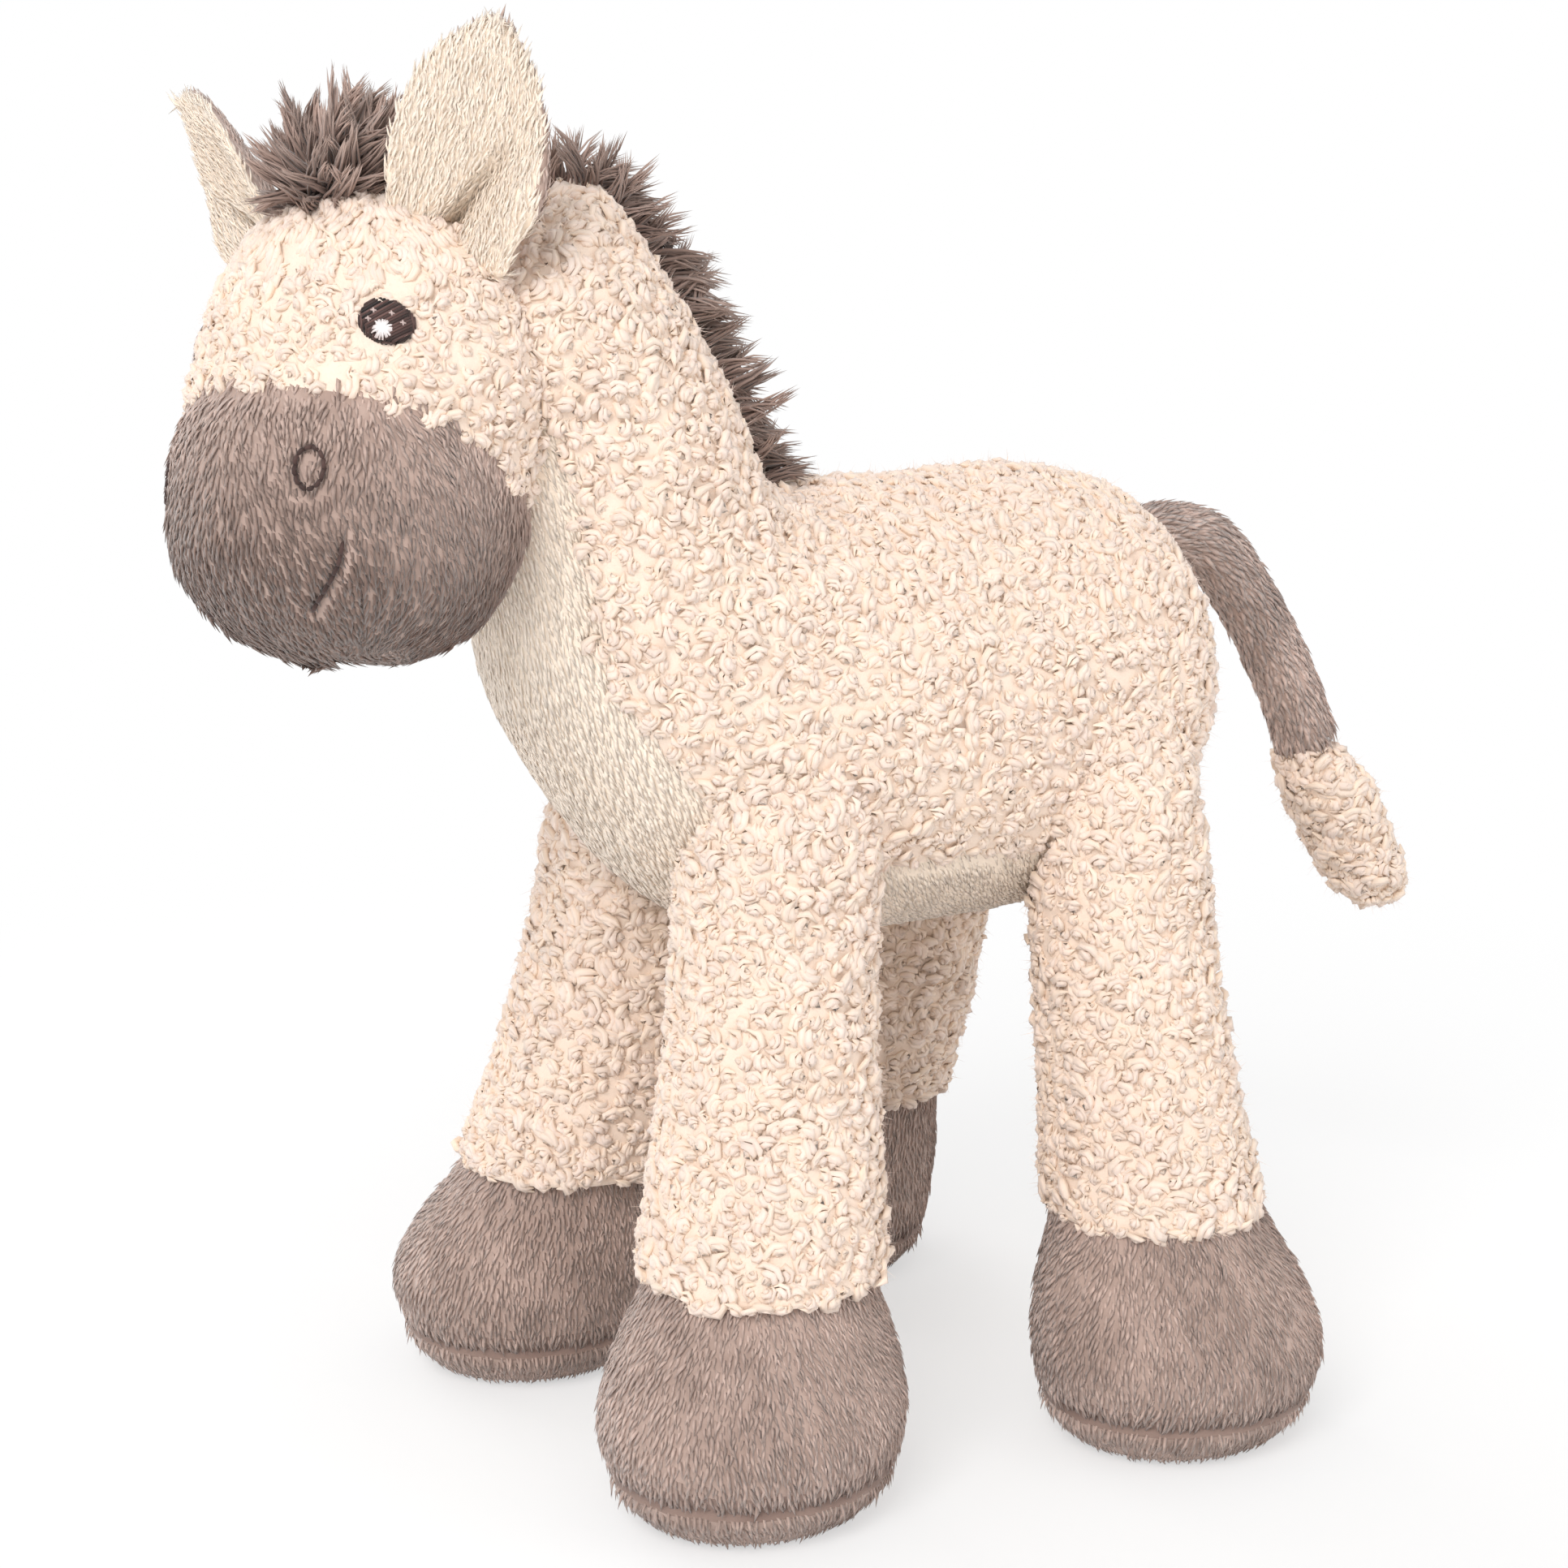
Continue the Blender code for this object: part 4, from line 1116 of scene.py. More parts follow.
    def grow(
        self,
        name: str,
        skin: Skin,
        rule: PileRule,
        pile: np.ndarray | float,
        nap: np.ndarray,
        size: np.ndarray | float,
        seed: int,
        body: str,
        shade: np.ndarray | float = 0.0,
    ) -> bpy.types.Object:
        """Grow a pile on part of a skin.

        Args:
            name: The piece's name.
            skin: The skin that carries it.
            rule: How it is scattered.
            pile: Share of pile at each point of the skin.
            nap: Direction of the nap at each point.
            size: Size of the tufts at each point.
            seed: Seed of the scatter.
            body: The body that it rides on.
            shade: How far the pile takes its patch_and_shade colour at each point. This is painted shade, and
                on the hooves it also holds random mottle.

        Returns:
            The pile as one plain mesh object.
        """
        mesh = skin.mesh()
        store(mesh, pile=pile, size=size, shade=shade, nap=nap)
        values = {
            "Shapes": self.templates.collections[rule.shapes],
            "Spacing": rule.spacing,
            "Density": rule.density,
            "Lean": rule.lean,
            "Jitter": rule.jitter,
            "Follow": rule.follow,
            "Smallest": rule.smallest,
            "Largest": rule.largest,
            "Crumple": rule.crumple,
            "Seed": seed,
            "Finish": self.dyes.material(rule.finish, Cover.PILE),
        }
        piece = run_tree(name, mesh, self.tree, values)
        for title in ("nap", "pile", "size"):
            if title in piece.data.attributes:
                piece.data.attributes.remove(piece.data.attributes[title])
        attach(piece, body)
        log.info("%s: %d faces", name, len(piece.data.polygons))
        return piece


class Needle:
    """One Geometry Nodes tree that turns lines into threads, and the stitches made with it."""

    def __init__(self, dyes: Dyehouse) -> None:
        """Build the tree.

        Args:
            dyes: Where materials come from.
        """
        self.dyes = dyes
        self.chance = np.random.default_rng(5)
        inputs = {
            "Geometry": ("Geometry",),
            "Radius": ("Float", 0.0003),
            "Sides": ("Int", 5),
            "Finish": ("Material",),
        }
        output = ("Geometry", "Geometry")
        graph, take, result = new_group("sew threads", "GeometryNodeTree", inputs, output)
        ring = graph.add(
            "GeometryNodeCurvePrimitiveCircle",
            {"Radius": take["Radius"], "Resolution": take["Sides"]},
        )
        lines = graph.add("GeometryNodeMeshToCurve", {"Mesh": take["Geometry"]})
        tube = graph.add(
            "GeometryNodeCurveToMesh",
            {
                "Curve": graph.out(lines, "Curve"),
                "Profile Curve": graph.out(ring, "Curve"),
                "Fill Caps": True,
            },
        )
        dressed = {"Geometry": tube, "Material": take["Finish"]}
        graph.join(graph.add("GeometryNodeSetMaterial", dressed), result)
        self.tree = graph.tree

    def sew(
        self,
        name: str,
        lines: Sequence[np.ndarray],
        radius: float,
        finish: str,
        body: str,
        nodes: Sequence[str],
        bright: float,
    ) -> bpy.types.Object:
        """Sew lines as threads.

        Args:
            name: The piece's name.
            lines: The threads' points.
            radius: The threads' radius.
            finish: The finish's name.
            body: The body that they ride on.
            nodes: The CAD nodes that they stand for.
            bright: How near the threads come to their lightest colour, from 0 to 1.

        Returns:
            The piece.
        """
        verts = [tuple(p) for line in lines for p in line]
        edges = []
        tone = []
        rise = []
        for line in lines:
            start = len(tone)
            edges += [(start + i, start + i + 1) for i in range(len(line) - 1)]
            tone += [self.chance.uniform()] * len(line)
            steps = len(line) - 1
            # Each thread's ends, where it dives into the cloth, take the root colour as painted shade. For
            # the flecks, bright keeps the thread near its own pale brown root colour.
            rise += [bright * (0.25 + 0.75 * math.sin(math.pi * i / steps)) for i in range(steps + 1)]
        mesh = bpy.data.meshes.new(name)
        mesh.from_pydata(verts, edges, [])
        store(mesh, tone=tone, rise=rise)
        dye = self.dyes.material(finish, Cover.THREAD)
        piece = run_tree(name, mesh, self.tree, {"Radius": radius, "Sides": 6, "Finish": dye})
        piece.data.shade_smooth()
        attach(piece, body)
        if nodes:
            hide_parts(*nodes)
        return piece


class Workshop:
    """What every part of the horse is made with."""

    fill = 0.85

    def __init__(self) -> None:
        """Build the dyes, the small shapes and the pile machine."""
        self.dyes = Dyehouse()
        self.templates = Templates()
        self.templates.curls("curls", 18, 11, (3.4 * MILLIMETRE, 5.6 * MILLIMETRE), 0.0)
        self.templates.curls("long_curls", 14, 12, (4.6 * MILLIMETRE, 7.0 * MILLIMETRE), 0.7)
        self.templates.nap("short_nap", 9, 13, 3.6 * MILLIMETRE, 0.44 * MILLIMETRE, 0.09)
        self.templates.nap("smooth_nap", 9, 17, 4.2 * MILLIMETRE, 0.45 * MILLIMETRE, 0.045)
        self.templates.nap("ear_nap", 9, 16, 4.0 * MILLIMETRE, 0.38 * MILLIMETRE, 0.1)
        self.templates.locks("mane_locks", 9, 14, 12.5 * MILLIMETRE, 1.0 * MILLIMETRE, 13)
        self.templates.locks("forelock_locks", 9, 15, 12.0 * MILLIMETRE, 0.9 * MILLIMETRE, 12)
        self.machine = PileMachine(self.dyes, self.templates)
        self.needle = Needle(self.dyes)
        self.upright = Matrix.Translation((0, -STAND_Y, 0))

    def cloth(
        self,
        skin: Skin,
        finish: str,
        body: str,
        nodes: Sequence[str],
        other: str | None = None,
        mask: np.ndarray | None = None,
    ) -> bpy.types.Object:
        """Make a skin the cloth piece of a body.

        Args:
            skin: The skin.
            finish: The finish's name.
            body: The body that it rides on.
            nodes: The CAD nodes that it stands for.
            other: A second finish: another fabric where two fabrics meet at a seam, and on the hooves a dark
                finish painted as shadow in the sole seam's crease.
            mask: Share of the second finish at each point.

        Returns:
            The piece.
        """
        mesh = skin.mesh()
        mesh.materials.append(self.dyes.material(finish, Cover.CLOTH))
        if other is not None and mask is not None:
            mesh.materials.append(self.dyes.material(other, Cover.CLOTH))
            chosen = [int(mask[list(face)].mean() > 0.5) for face in skin.faces]
            mesh.polygons.foreach_set("material_index", chosen)
        piece = show(skin.name, mesh)
        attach(piece, body)
        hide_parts(*nodes)
        log.info("%s: %d faces", skin.name, len(mesh.polygons))
        return piece


CURL_RULE = PileRule("curl", "curls", 0.00264, 3000000.0, 0.25, 0.4, 0.25, 0.75, 1.2, 0.0006)
LEG_CURL_RULE = PileRule("curl", "curls", 0.00264, 3000000.0, 0.3, 0.4, 0.4, 0.75, 1.25, 0.0006)
BROW_CURL_RULE = PileRule("curl", "long_curls", 0.0024, 3000000.0, 0.15, 0.25, 0.85, 0.8, 1.15, 0.0004)
CREAM_RULE = PileRule("cream_nap", "smooth_nap", 0.00087, 5000000.0, 0.0, 0.07, 1.0, 0.75, 1.2)
TAUPE_RULE = PileRule("taupe_nap", "short_nap", 0.0009, 5000000.0, 0.0, 0.13, 1.0, 0.75, 1.2)
EAR_RULE = PileRule("cream_nap", "ear_nap", 0.0006, 9000000.0, 0.0, 0.14, 1.0, 0.75, 1.2)
MANE_RULE = PileRule("long_hair", "mane_locks", 0.0016, 3000000.0, 0.15, 0.4, 0.3, 0.75, 1.15)
FORELOCK_RULE = PileRule("long_hair", "forelock_locks", 0.0014, 3000000.0, 0.7, 0.4, 0.6, 0.7, 1.2)


@dataclass
class Trunk:
    """The trunk and neck: side panels of curls, a belly gusset of nap and the mane.

    A row holds a back point, a belly point (y as a share of the length, z as a share of the height)
    and a half width. The gusset's share of its angle is given for each row.
    """

    length: float = 0.165
    height: float = 0.190
    half_width: float = 0.043
    gusset: float = math.radians(56)
    mane_half: float = 0.0064
    mane_rows: tuple[float, float] = (6.3, 11.9)
    cloth_sink: float = 0.0001
    seam_sink: float = 0.0016
    gusset_seam_width: float = 0.0022
    back_seam_width: float = 0.002
    tail_clearance: float = 0.0072
    rows: tuple[Row, ...] = (
        (0.560, 0.782, 0.560, 0.782, 0.0),
        (0.537, 0.888, 0.543, 0.665, 0.51),
        (0.470, 0.968, 0.476, 0.578, 0.81),
        (0.333, 1.000, 0.339, 0.526, 0.95),
        (0.152, 0.997, 0.152, 0.518, 1.00),
        (0.018, 1.000, -0.065, 0.526, 0.99),
        (-0.034, 1.003, -0.190, 0.578, 0.95),
        (-0.056, 1.012, -0.290, 0.672, 0.88),
        (-0.076, 1.040, -0.368, 0.785, 0.80),
        (-0.105, 1.105, -0.400, 0.888, 0.73),
        (-0.164, 1.195, -0.430, 0.984, 0.68),
        (-0.240, 1.285, -0.475, 1.085, 0.62),
        (-0.290, 1.305, -0.485, 1.160, 0.45),
        (-0.418, 1.250, -0.418, 1.250, 0.0),
    )
    gusset_shares: Row = (0.35, 0.45, 0.62, 0.9, 1.0, 1.0, 1.0, 0.96, 0.92, 0.95, 1.1, 1.2, 0.95, 0.9)

    def loft(self, frame: Matrix) -> Loft:
        """The form through pairs of back and belly points.

        Args:
            frame: Where the horse stands.

        Returns:
            The loft.
        """
        rings = []
        for back_y, back_z, belly_y, belly_z, wide in self.rows:
            back = np.array((0, back_y * self.length, back_z * self.height))
            belly = np.array((0, belly_y * self.length, belly_z * self.height))
            rings.append(((back + belly) / 2, (wide * self.half_width, 0, 0), (belly - back) / 2))
        return Loft(rings, frame)

    def skin(self, shop: Workshop) -> Skin:
        """The trunk's cloth skin, with a groove where the gusset is sewn in.

        Args:
            shop: The workshop.

        Returns:
            The skin.
        """

        def rise(places: np.ndarray, angles: np.ndarray) -> np.ndarray:
            """Sunk at the seams."""
            seam = np.interp(places, range(len(self.gusset_shares)), self.gusset_shares) * self.gusset
            away = (math.pi - np.abs(angles - math.pi) - (math.pi - seam)) * self.half_width
            back = np.minimum(angles, TURN - angles) * self.half_width
            groove = 0.35 * ridge(away, self.gusset_seam_width)
            groove = groove + 0.7 * ridge(back, self.back_seam_width)
            return -self.cloth_sink - self.seam_sink * groove

        stations = [0.0, 0.06, 0.16, *np.linspace(0.3, 12.7, 76), 12.86, 12.95, 13.0]
        return Skin.wrap("trunk_cloth", self.loft(shop.upright), stations, 96, rise)

    def make(self, shop: Workshop) -> Skin:
        """Build the cloth, the two fleece sides, the belly nap and the mane.

        Args:
            shop: The workshop.

        Returns:
            The trunk's skin, for neighbours to test against.
        """
        skin = self.skin(shop)
        half = np.interp(skin.places, range(len(self.gusset_shares)), self.gusset_shares) * self.gusset
        belly = math.pi - np.abs(skin.angles - math.pi) - (math.pi - half)
        fleece = held(0.75 - belly / 0.05)
        root = np.array(shop.upright @ Vector((0, Tail.root_y, Tail.root_z)))
        from_tail = np.linalg.norm(skin.points - root, axis=1)
        fleece *= held((from_tail - self.tail_clearance) / MILLIMETRE)
        covers = ("side_panel_left", "side_panel_right", "belly_gusset")
        shop.cloth(skin, "curl", "body", covers, "cream_nap", held(0.5 + belly / 0.03))
        down = skin.lay(np.array((0.0, 0.2, -1.0)))
        across = skin.points[:, 0]
        crest = np.abs(across)
        mane = window(skin.places, *self.mane_rows, 0.3)
        mane *= window(crest, -1.0, self.mane_half, MILLIMETRE)
        mane *= skin.normals @ np.array((0, 0.55, 0.83)) > 0.1
        fleece = fleece * (1 - 0.85 * mane * (crest < 0.4 * self.mane_half))
        size = 1.0 + 0.12 * ripple(skin.points, 35.0, 3.0)
        grow = shop.machine.grow
        for side, sign in SIDES:
            mask = fleece * held(0.5 + sign * across / MILLIMETRE)
            grow(f"fleece_{side}", skin, CURL_RULE, mask, down, size, 20 + sign, "body")
        back = skin.lay(np.array((0.0, 0.6, -1.0)))
        mask = held(1.0 + belly / 0.06)
        grow("belly_nap", skin, CREAM_RULE, mask, back, 1.0, 31, "body")
        back = skin.lay(np.array((0.0, 0.5, -1.0)))
        hair = grow("mane_hair", skin, MANE_RULE, held(mane), back, 1.0, 41, "body")
        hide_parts("mane")
        return skin


@dataclass
class Head:
    """The head: curled crown, smooth muzzle, stitched face and forelock.

    A row holds a place along the length, a half width, a half depth and a set-back, each as a share.
    Eye, nostril, mouth and dimple are given as a row and a share of a half turn from the front.
    """

    length: float = 0.089
    half_width: float = 0.0355
    half_depth: float = 0.0335
    crown_y: float = -0.0735
    crown_z: float = 0.2455
    tilt: float = math.radians(20.5)
    seam_tilt: float = math.radians(25)
    turn: float = math.radians(18)
    roll: float = math.radians(8)
    middle: tuple[float, float, float] = (0.0, -0.090, 0.205)
    seam_row: float = 6.0
    eye: tuple[float, float] = (4.45, 0.27)
    eye_row: float = 0.0098
    eye_half: tuple[float, float] = (0.0053, 0.0046)
    nostril: tuple[float, float] = (7.55, 0.205)
    nostril_half: tuple[float, float] = (0.0028, 0.0041)
    mouth: tuple[Row, ...] = ((8.66, 0.281), (9.0, 0.280), (9.3, 0.270), (9.62, 0.252), (9.98, 0.230))
    dimple: tuple[float, float] = (5.75, 0.205)
    stitch_depth: float = 0.0014
    cloth_sink: float = 0.0013
    fleece_rise: float = 0.0006
    seam_sink: float = 0.0003
    stitch_sink: float = 0.0009
    stitch_width: float = 0.0013
    chin_sink: float = 0.0030
    rows: tuple[Row, ...] = (
        (0.0, 0.0, 0.0, 0.0),
        (0.03, 0.36, 0.36, 0.01),
        (0.10, 0.66, 0.64, 0.03),
        (0.20, 0.86, 0.83, 0.05),
        (0.33, 0.975, 0.94, 0.08),
        (0.44, 0.995, 0.965, 0.07),
        (0.53, 0.975, 0.97, 0.03),
        (0.635, 0.985, 0.99, 0.0),
        (0.74, 0.96, 0.965, 0.0),
        (0.86, 0.85, 0.86, 0.0),
        (0.945, 0.60, 0.61, 0.0),
        (0.985, 0.30, 0.31, 0.0),
        (1.0, 0.0, 0.0, 0.0),
    )

    def frame(self, shop: Workshop) -> Matrix:
        """The head looks a little to the horse's left and leans to its right."""
        middle = Vector(self.middle)
        lean = Matrix.Rotation(self.turn, 4, "Z") @ Matrix.Rotation(-self.roll, 4, "Y")
        return shop.upright @ Matrix.Translation(middle) @ lean @ Matrix.Translation(-middle)

    def loft(self, frame: Matrix) -> Loft:
        """The form from crown to chin.

        Args:
            frame: The head's place.

        Returns:
            The loft. Its angle 0 is the front.
        """
        rings = []
        for along, wide, deep, set_back in self.rows:
            drop = along * self.length
            y = self.crown_y - drop * math.sin(self.tilt) + set_back * self.half_depth
            depth = deep * self.half_depth
            rings.append(
                (
                    (0, y, self.crown_z - drop * math.cos(self.tilt)),
                    (wide * self.half_width, 0, 0),
                    (0, depth * math.cos(self.seam_tilt), -depth * math.sin(self.seam_tilt)),
                )
            )
        return Loft(rings, frame)

    @staticmethod
    def reach(points: np.ndarray, line: np.ndarray) -> np.ndarray:
        """Distance of points from the nearest point of a line."""
        return np.min(np.linalg.norm(points[:, None] - line[None], axis=2), axis=1)

    def ring_line(self, loft: Loft, sign: int, count: int) -> np.ndarray:
        """The nostril's oval on the form."""
        turn = np.arange(count) * TURN / count
        place, share = self.nostril
        row = np.linalg.norm(loft.rings(np.array([place]))[0, 0] - loft.rings(np.array([place + 1]))[0, 0])
        places = place + self.nostril_half[1] / row * np.cos(turn)
        angles = sign * (share * math.pi + self.nostril_half[0] / self.half_width * np.sin(turn))
        return loft.raw(places, angles)

    def mouth_line(self, loft: Loft, sign: int, count: int) -> np.ndarray:
        """The mouth's line on the form."""
        t = np.linspace(0, len(self.mouth) - 1, count)
        table = np.array(self.mouth)
        places, shares = (np.interp(t, range(len(table)), table[:, i]) for i in (0, 1))
        return loft.raw(places, sign * shares * math.pi)

    def stitches(
        self, line: np.ndarray, outward: Callable[[np.ndarray], np.ndarray], closed: bool
    ) -> list[np.ndarray]:
        """Back stitches along a line that dive in between.

        Args:
            line: The line's points, three for each stitch.
            outward: Outward directions at points.
            closed: Whether the line is a ring.

        Returns:
            A short thread for every stitch.
        """
        made = []
        count = len(line)
        for i in range(0, count if closed else count - 3, 3):
            part = np.array([line[(i + k) % count] for k in range(4)])
            lift = np.array([-0.5, 0.25, 0.3, -0.45]) * MILLIMETRE
            made.append(part + outward(part) * lift[:, None])
        return made

    @staticmethod
    def row_gap(loft: Loft) -> float:
        """Distance between two of the head's rows beside the eye."""
        return np.linalg.norm(loft.rings(np.array([4.0]))[0, 0] - loft.rings(np.array([3.0]))[0, 0])

    def satin(self, loft: Loft, sign: int, count: int, lift: float, slant: float) -> list:
        """Satin stitches that fill the eye's oval.

        Args:
            loft: The head's loft.
            sign: 1 on the left side, -1 on the right.
            count: Number of threads.
            lift: Height over the form in metres.
            slant: Turn of the threads from upright.

        Returns:
            The threads' points.
        """
        chance = np.random.default_rng(count)
        row = self.row_gap(loft)
        lines = []
        for u in np.linspace(-0.96, 0.96, count):
            edge = math.sqrt(1 - u * u) * chance.uniform(0.95, 1.04)
            v = np.linspace(-edge, edge, 9)
            across = u * math.cos(slant) - v * math.sin(slant)
            along = u * math.sin(slant) + v * math.cos(slant)
            grow = lift + 0.55 * MILLIMETRE * np.sqrt(held(1.02 - u * u - v * v))
            grow[[0, -1]] -= 1.2 * MILLIMETRE
            places = self.eye[0] + self.eye_half[1] / row * along
            angles = sign * (self.eye[1] * math.pi + self.eye_half[0] / self.half_width * across)
            lines.append(loft.point(places, angles, grow))
        return lines

    def star(self, loft: Loft, sign: int, spot: Row, size: float, count: int) -> list:
        """Short stitches that cross in one spot of the eye.

        Args:
            loft: The head's loft.
            sign: 1 on the left side, -1 on the right.
            spot: The spot, as shares of the eye's half width and half height.
            size: Half length of the stitches in metres.
            count: Number of threads.

        Returns:
            The threads' points.
        """
        chance = np.random.default_rng(count)
        row = self.row_gap(loft)
        lines = []
        for i in range(count):
            turn = math.pi * (i * 0.382 + chance.uniform(-0.03, 0.03))
            t = np.linspace(-1, 1, 7) * size * chance.uniform(0.8, 1.1)
            across = spot[0] * self.eye_half[0] + t * math.cos(turn)
            along = spot[1] * self.eye_half[1] + t * math.sin(turn)
            grow = 0.62 * MILLIMETRE + 0.28 * MILLIMETRE * np.cos(np.linspace(-1.5, 1.5, 7))
            grow = grow + 0.012 * MILLIMETRE * i
            grow[[0, -1]] -= 0.5 * MILLIMETRE
            places = self.eye[0] + along / row
            angles = sign * (self.eye[1] * math.pi + across / self.half_width)
            lines.append(loft.point(places, angles, grow))
        return lines

    def face(self, shop: Workshop, loft: Loft) -> None:
        """Sew the eyes, nostrils and mouth.

        Args:
            shop: The workshop.
            loft: The head's loft.
        """
        frame = self.frame(shop)
        inside = np.array(frame @ Vector((0, self.middle[1] + 0.01, self.middle[2])))

        def out(points: np.ndarray) -> np.ndarray:
            """Roughly outward directions."""
            return unit(points - inside)

        layers = (
            (21, -0.35 * MILLIMETRE, 1.35),
            (25, -0.1 * MILLIMETRE, -0.2),
            (19, 0.1 * MILLIMETRE, 0.75),
        )
        spots = ((-0.50, -0.28), (0.55, 0.0), (0.12, -0.30), (-0.62, 0.12))
        for side, sign in SIDES:
            eye = [line for layer in layers for line in self.satin(loft, sign, *layer)]
            glint = self.star(loft, sign, (-0.08, 0.42), 0.0021, 15)
            fleck = [line for spot in spots for line in self.star(loft, sign, spot, 0.0007, 2)]
            ring = self.ring_line(loft, sign, 36)
            line = self.mouth_line(loft, sign, 22)
            nostril = self.stitches(ring - out(ring) * self.stitch_depth, out, True)
            mouth = self.stitches(line - out(line) * self.stitch_depth, out, False)
            for name, threads, radius, finish, bright in (
                ("eye", eye, 0.28, "dark_thread", 1.0),
                ("eye_glint", glint, 0.20, "white_thread", 1.0),
                ("eye_fleck", fleck, 0.17, "white_thread", 0.15),
                ("nostril", nostril, 0.44, "muzzle_thread", 1.0),
                ("mouth", mouth, 0.42, "muzzle_thread", 1.0),
            ):
                nodes = () if name == "eye_fleck" else (f"{name}_{side}",)
                title = f"{name}_{side}_threads"
                shop.needle.sew(title, threads, radius * MILLIMETRE, finish, "head", nodes, bright)

    def make(self, shop: Workshop, trunk: Skin) -> None:
        """Build the head's cloth, fleece, nap, forelock and stitches.

        Args:
            shop: The workshop.
            trunk: The trunk's skin.
        """
        frame = self.frame(shop)
        loft = self.loft(frame)
        lines = [make(loft, sign, 40) for sign in (1, -1) for make in (self.ring_line, self.mouth_line)]

        def seam(angles: np.ndarray) -> np.ndarray:
            """Row of the muzzle seam, which hangs lower behind the cheeks."""
            behind = np.abs((angles + math.pi) % TURN - math.pi) / math.pi
            return self.seam_row + 0.5 * held((behind - 0.42) / 0.2)

        def rise(places: np.ndarray, angles: np.ndarray) -> np.ndarray:
            """Sunk at the muzzle seam and along the stitches, and drawn in behind the chin."""
            base = loft.raw(places, angles)
            sewn = sum(ridge(self.reach(base, line), self.stitch_width) for line in lines)
            behind = np.abs((angles + math.pi) % TURN - math.pi) / math.pi
            drawn = held((behind - 0.35) / 0.3) * window(places, 8.2, 12.5, 2.0)
            groove = self.seam_sink * ridge(places - seam(angles), 0.16)
            fleece = self.fleece_rise * held(0.2 + (seam(angles) - places) / 0.6)
            sunk = self.stitch_sink * sewn
            return -self.cloth_sink + fleece - groove - sunk - self.chin_sink * drawn

        crown = np.linspace(0.6, 5.8, 26)
        muzzle = np.linspace(5.9, 11.4, 60)
        stations = [0.0, 0.1, 0.3, *crown, *muzzle, 11.65, 11.85, 12.0]
        skin = Skin.wrap("head_cloth", loft, stations, 120, rise)
        edge = seam(skin.angles) - skin.places
        upper = held(0.5 + edge / 0.12)
        shop.cloth(skin, "curl", "head", ("head_cover", "muzzle_cover"), "taupe_nap", 1 - upper)
        buried = held(1.3 - depth_inside(skin.points, trunk.tree()) / 0.006)
        flat = np.ones(len(skin.points))
        turn = (skin.angles + math.pi) % TURN - math.pi
        for sign in (1, -1):
            across = (turn - sign * self.eye[1] * math.pi) * self.half_width / self.eye_half[0]
            along = (skin.places - self.eye[0]) * self.eye_row / self.eye_half[1]
            flat *= held((np.hypot(across, along) - 0.98) / 0.2)
            spot = loft.raw(np.array([self.dimple[0]]), np.array([sign * self.dimple[1] * math.pi]))
            flat *= held((self.reach(skin.points, spot) - 0.0012) / 0.001)
        nap = skin.lay(np.array(frame.to_3x3() @ Vector((0, 0, -1))))
        size = 0.86 + 0.1 * ripple(skin.points, 45.0, 5.0)
        brow = held((4.2 - skin.places) / 1.2) * held((1.35 - np.abs(turn)) / 0.3)
        fleece = held(0.5 + (edge + 0.1) / 0.12) * buried * flat
        grow = shop.machine.grow
        grow("fleece_head", skin, CURL_RULE, fleece * (1 - brow), nap, size, 51, "head")
        grow("fleece_brow", skin, BROW_CURL_RULE, fleece * brow, nap, size, 52, "head")
        clear = np.ones(len(skin.points))
        for line in lines:
            for step in (0.0, 0.0012, 0.0024, 0.0034):
                clear *= held((self.reach(skin.points + nap * step, line) - 0.0006) / 0.0005)
        # Painted shade: the muzzle's nap darkens towards the chin, the underside that faces away from the
        # light.
        chin = held((skin.places + 0.5 * ripple(skin.points, 60.0, 2.0) - 5.9) / 3.1)
        lower = held(0.5 + (0.2 - edge) / 0.05)
        flow = skin.lay(nap + 0.65 * swirl(skin.points, 55.0, (8.0, 9.0, 10.0)))
        grow("muzzle_nap", skin, TAUPE_RULE, lower * clear, flow, 1.0, 61, "head", chin)
        self.face(shop, loft)
        self.forelock(shop, frame)

    def forelock(self, shop: Workshop, frame: Matrix) -> None:
        """A tuft of long locks that radiate from the brow.

        Args:
            shop: The workshop.
            frame: The head's place.
        """
        radius = 0.0082
        rises = (-0.2, 0.1, 0.5, 1.0, 1.4, 1.7, 1.85)
        widths = (0.0, 0.6, 0.9, 1.0, 0.85, 0.5, 0.0)
        place = Vector((0.0022, self.crown_y - 0.0142, self.crown_z - 0.0025))
        rings = [
            (tuple(place + Vector((0, 0, rise * radius))), (wide * radius, 0, 0), (0, wide * radius, 0))
            for rise, wide in zip(rises, widths)
        ]
        stations = [0.0, 0.2, *np.linspace(0.5, 5.5, 16), 5.8, 5.95, 6.0]
        skin = Skin.wrap("forelock_root", Loft(rings, frame), stations, 36)
        shop.cloth(skin, "long_hair", "head", ("forelock",))
        whorl = np.array(frame @ (place + Vector((0, -radius, -0.6 * radius))))
        outward = skin.lay(skin.points - whorl)
        shop.machine.grow("forelock_hair", skin, FORELOCK_RULE, 1.0, outward, 1.0, 71, "head")


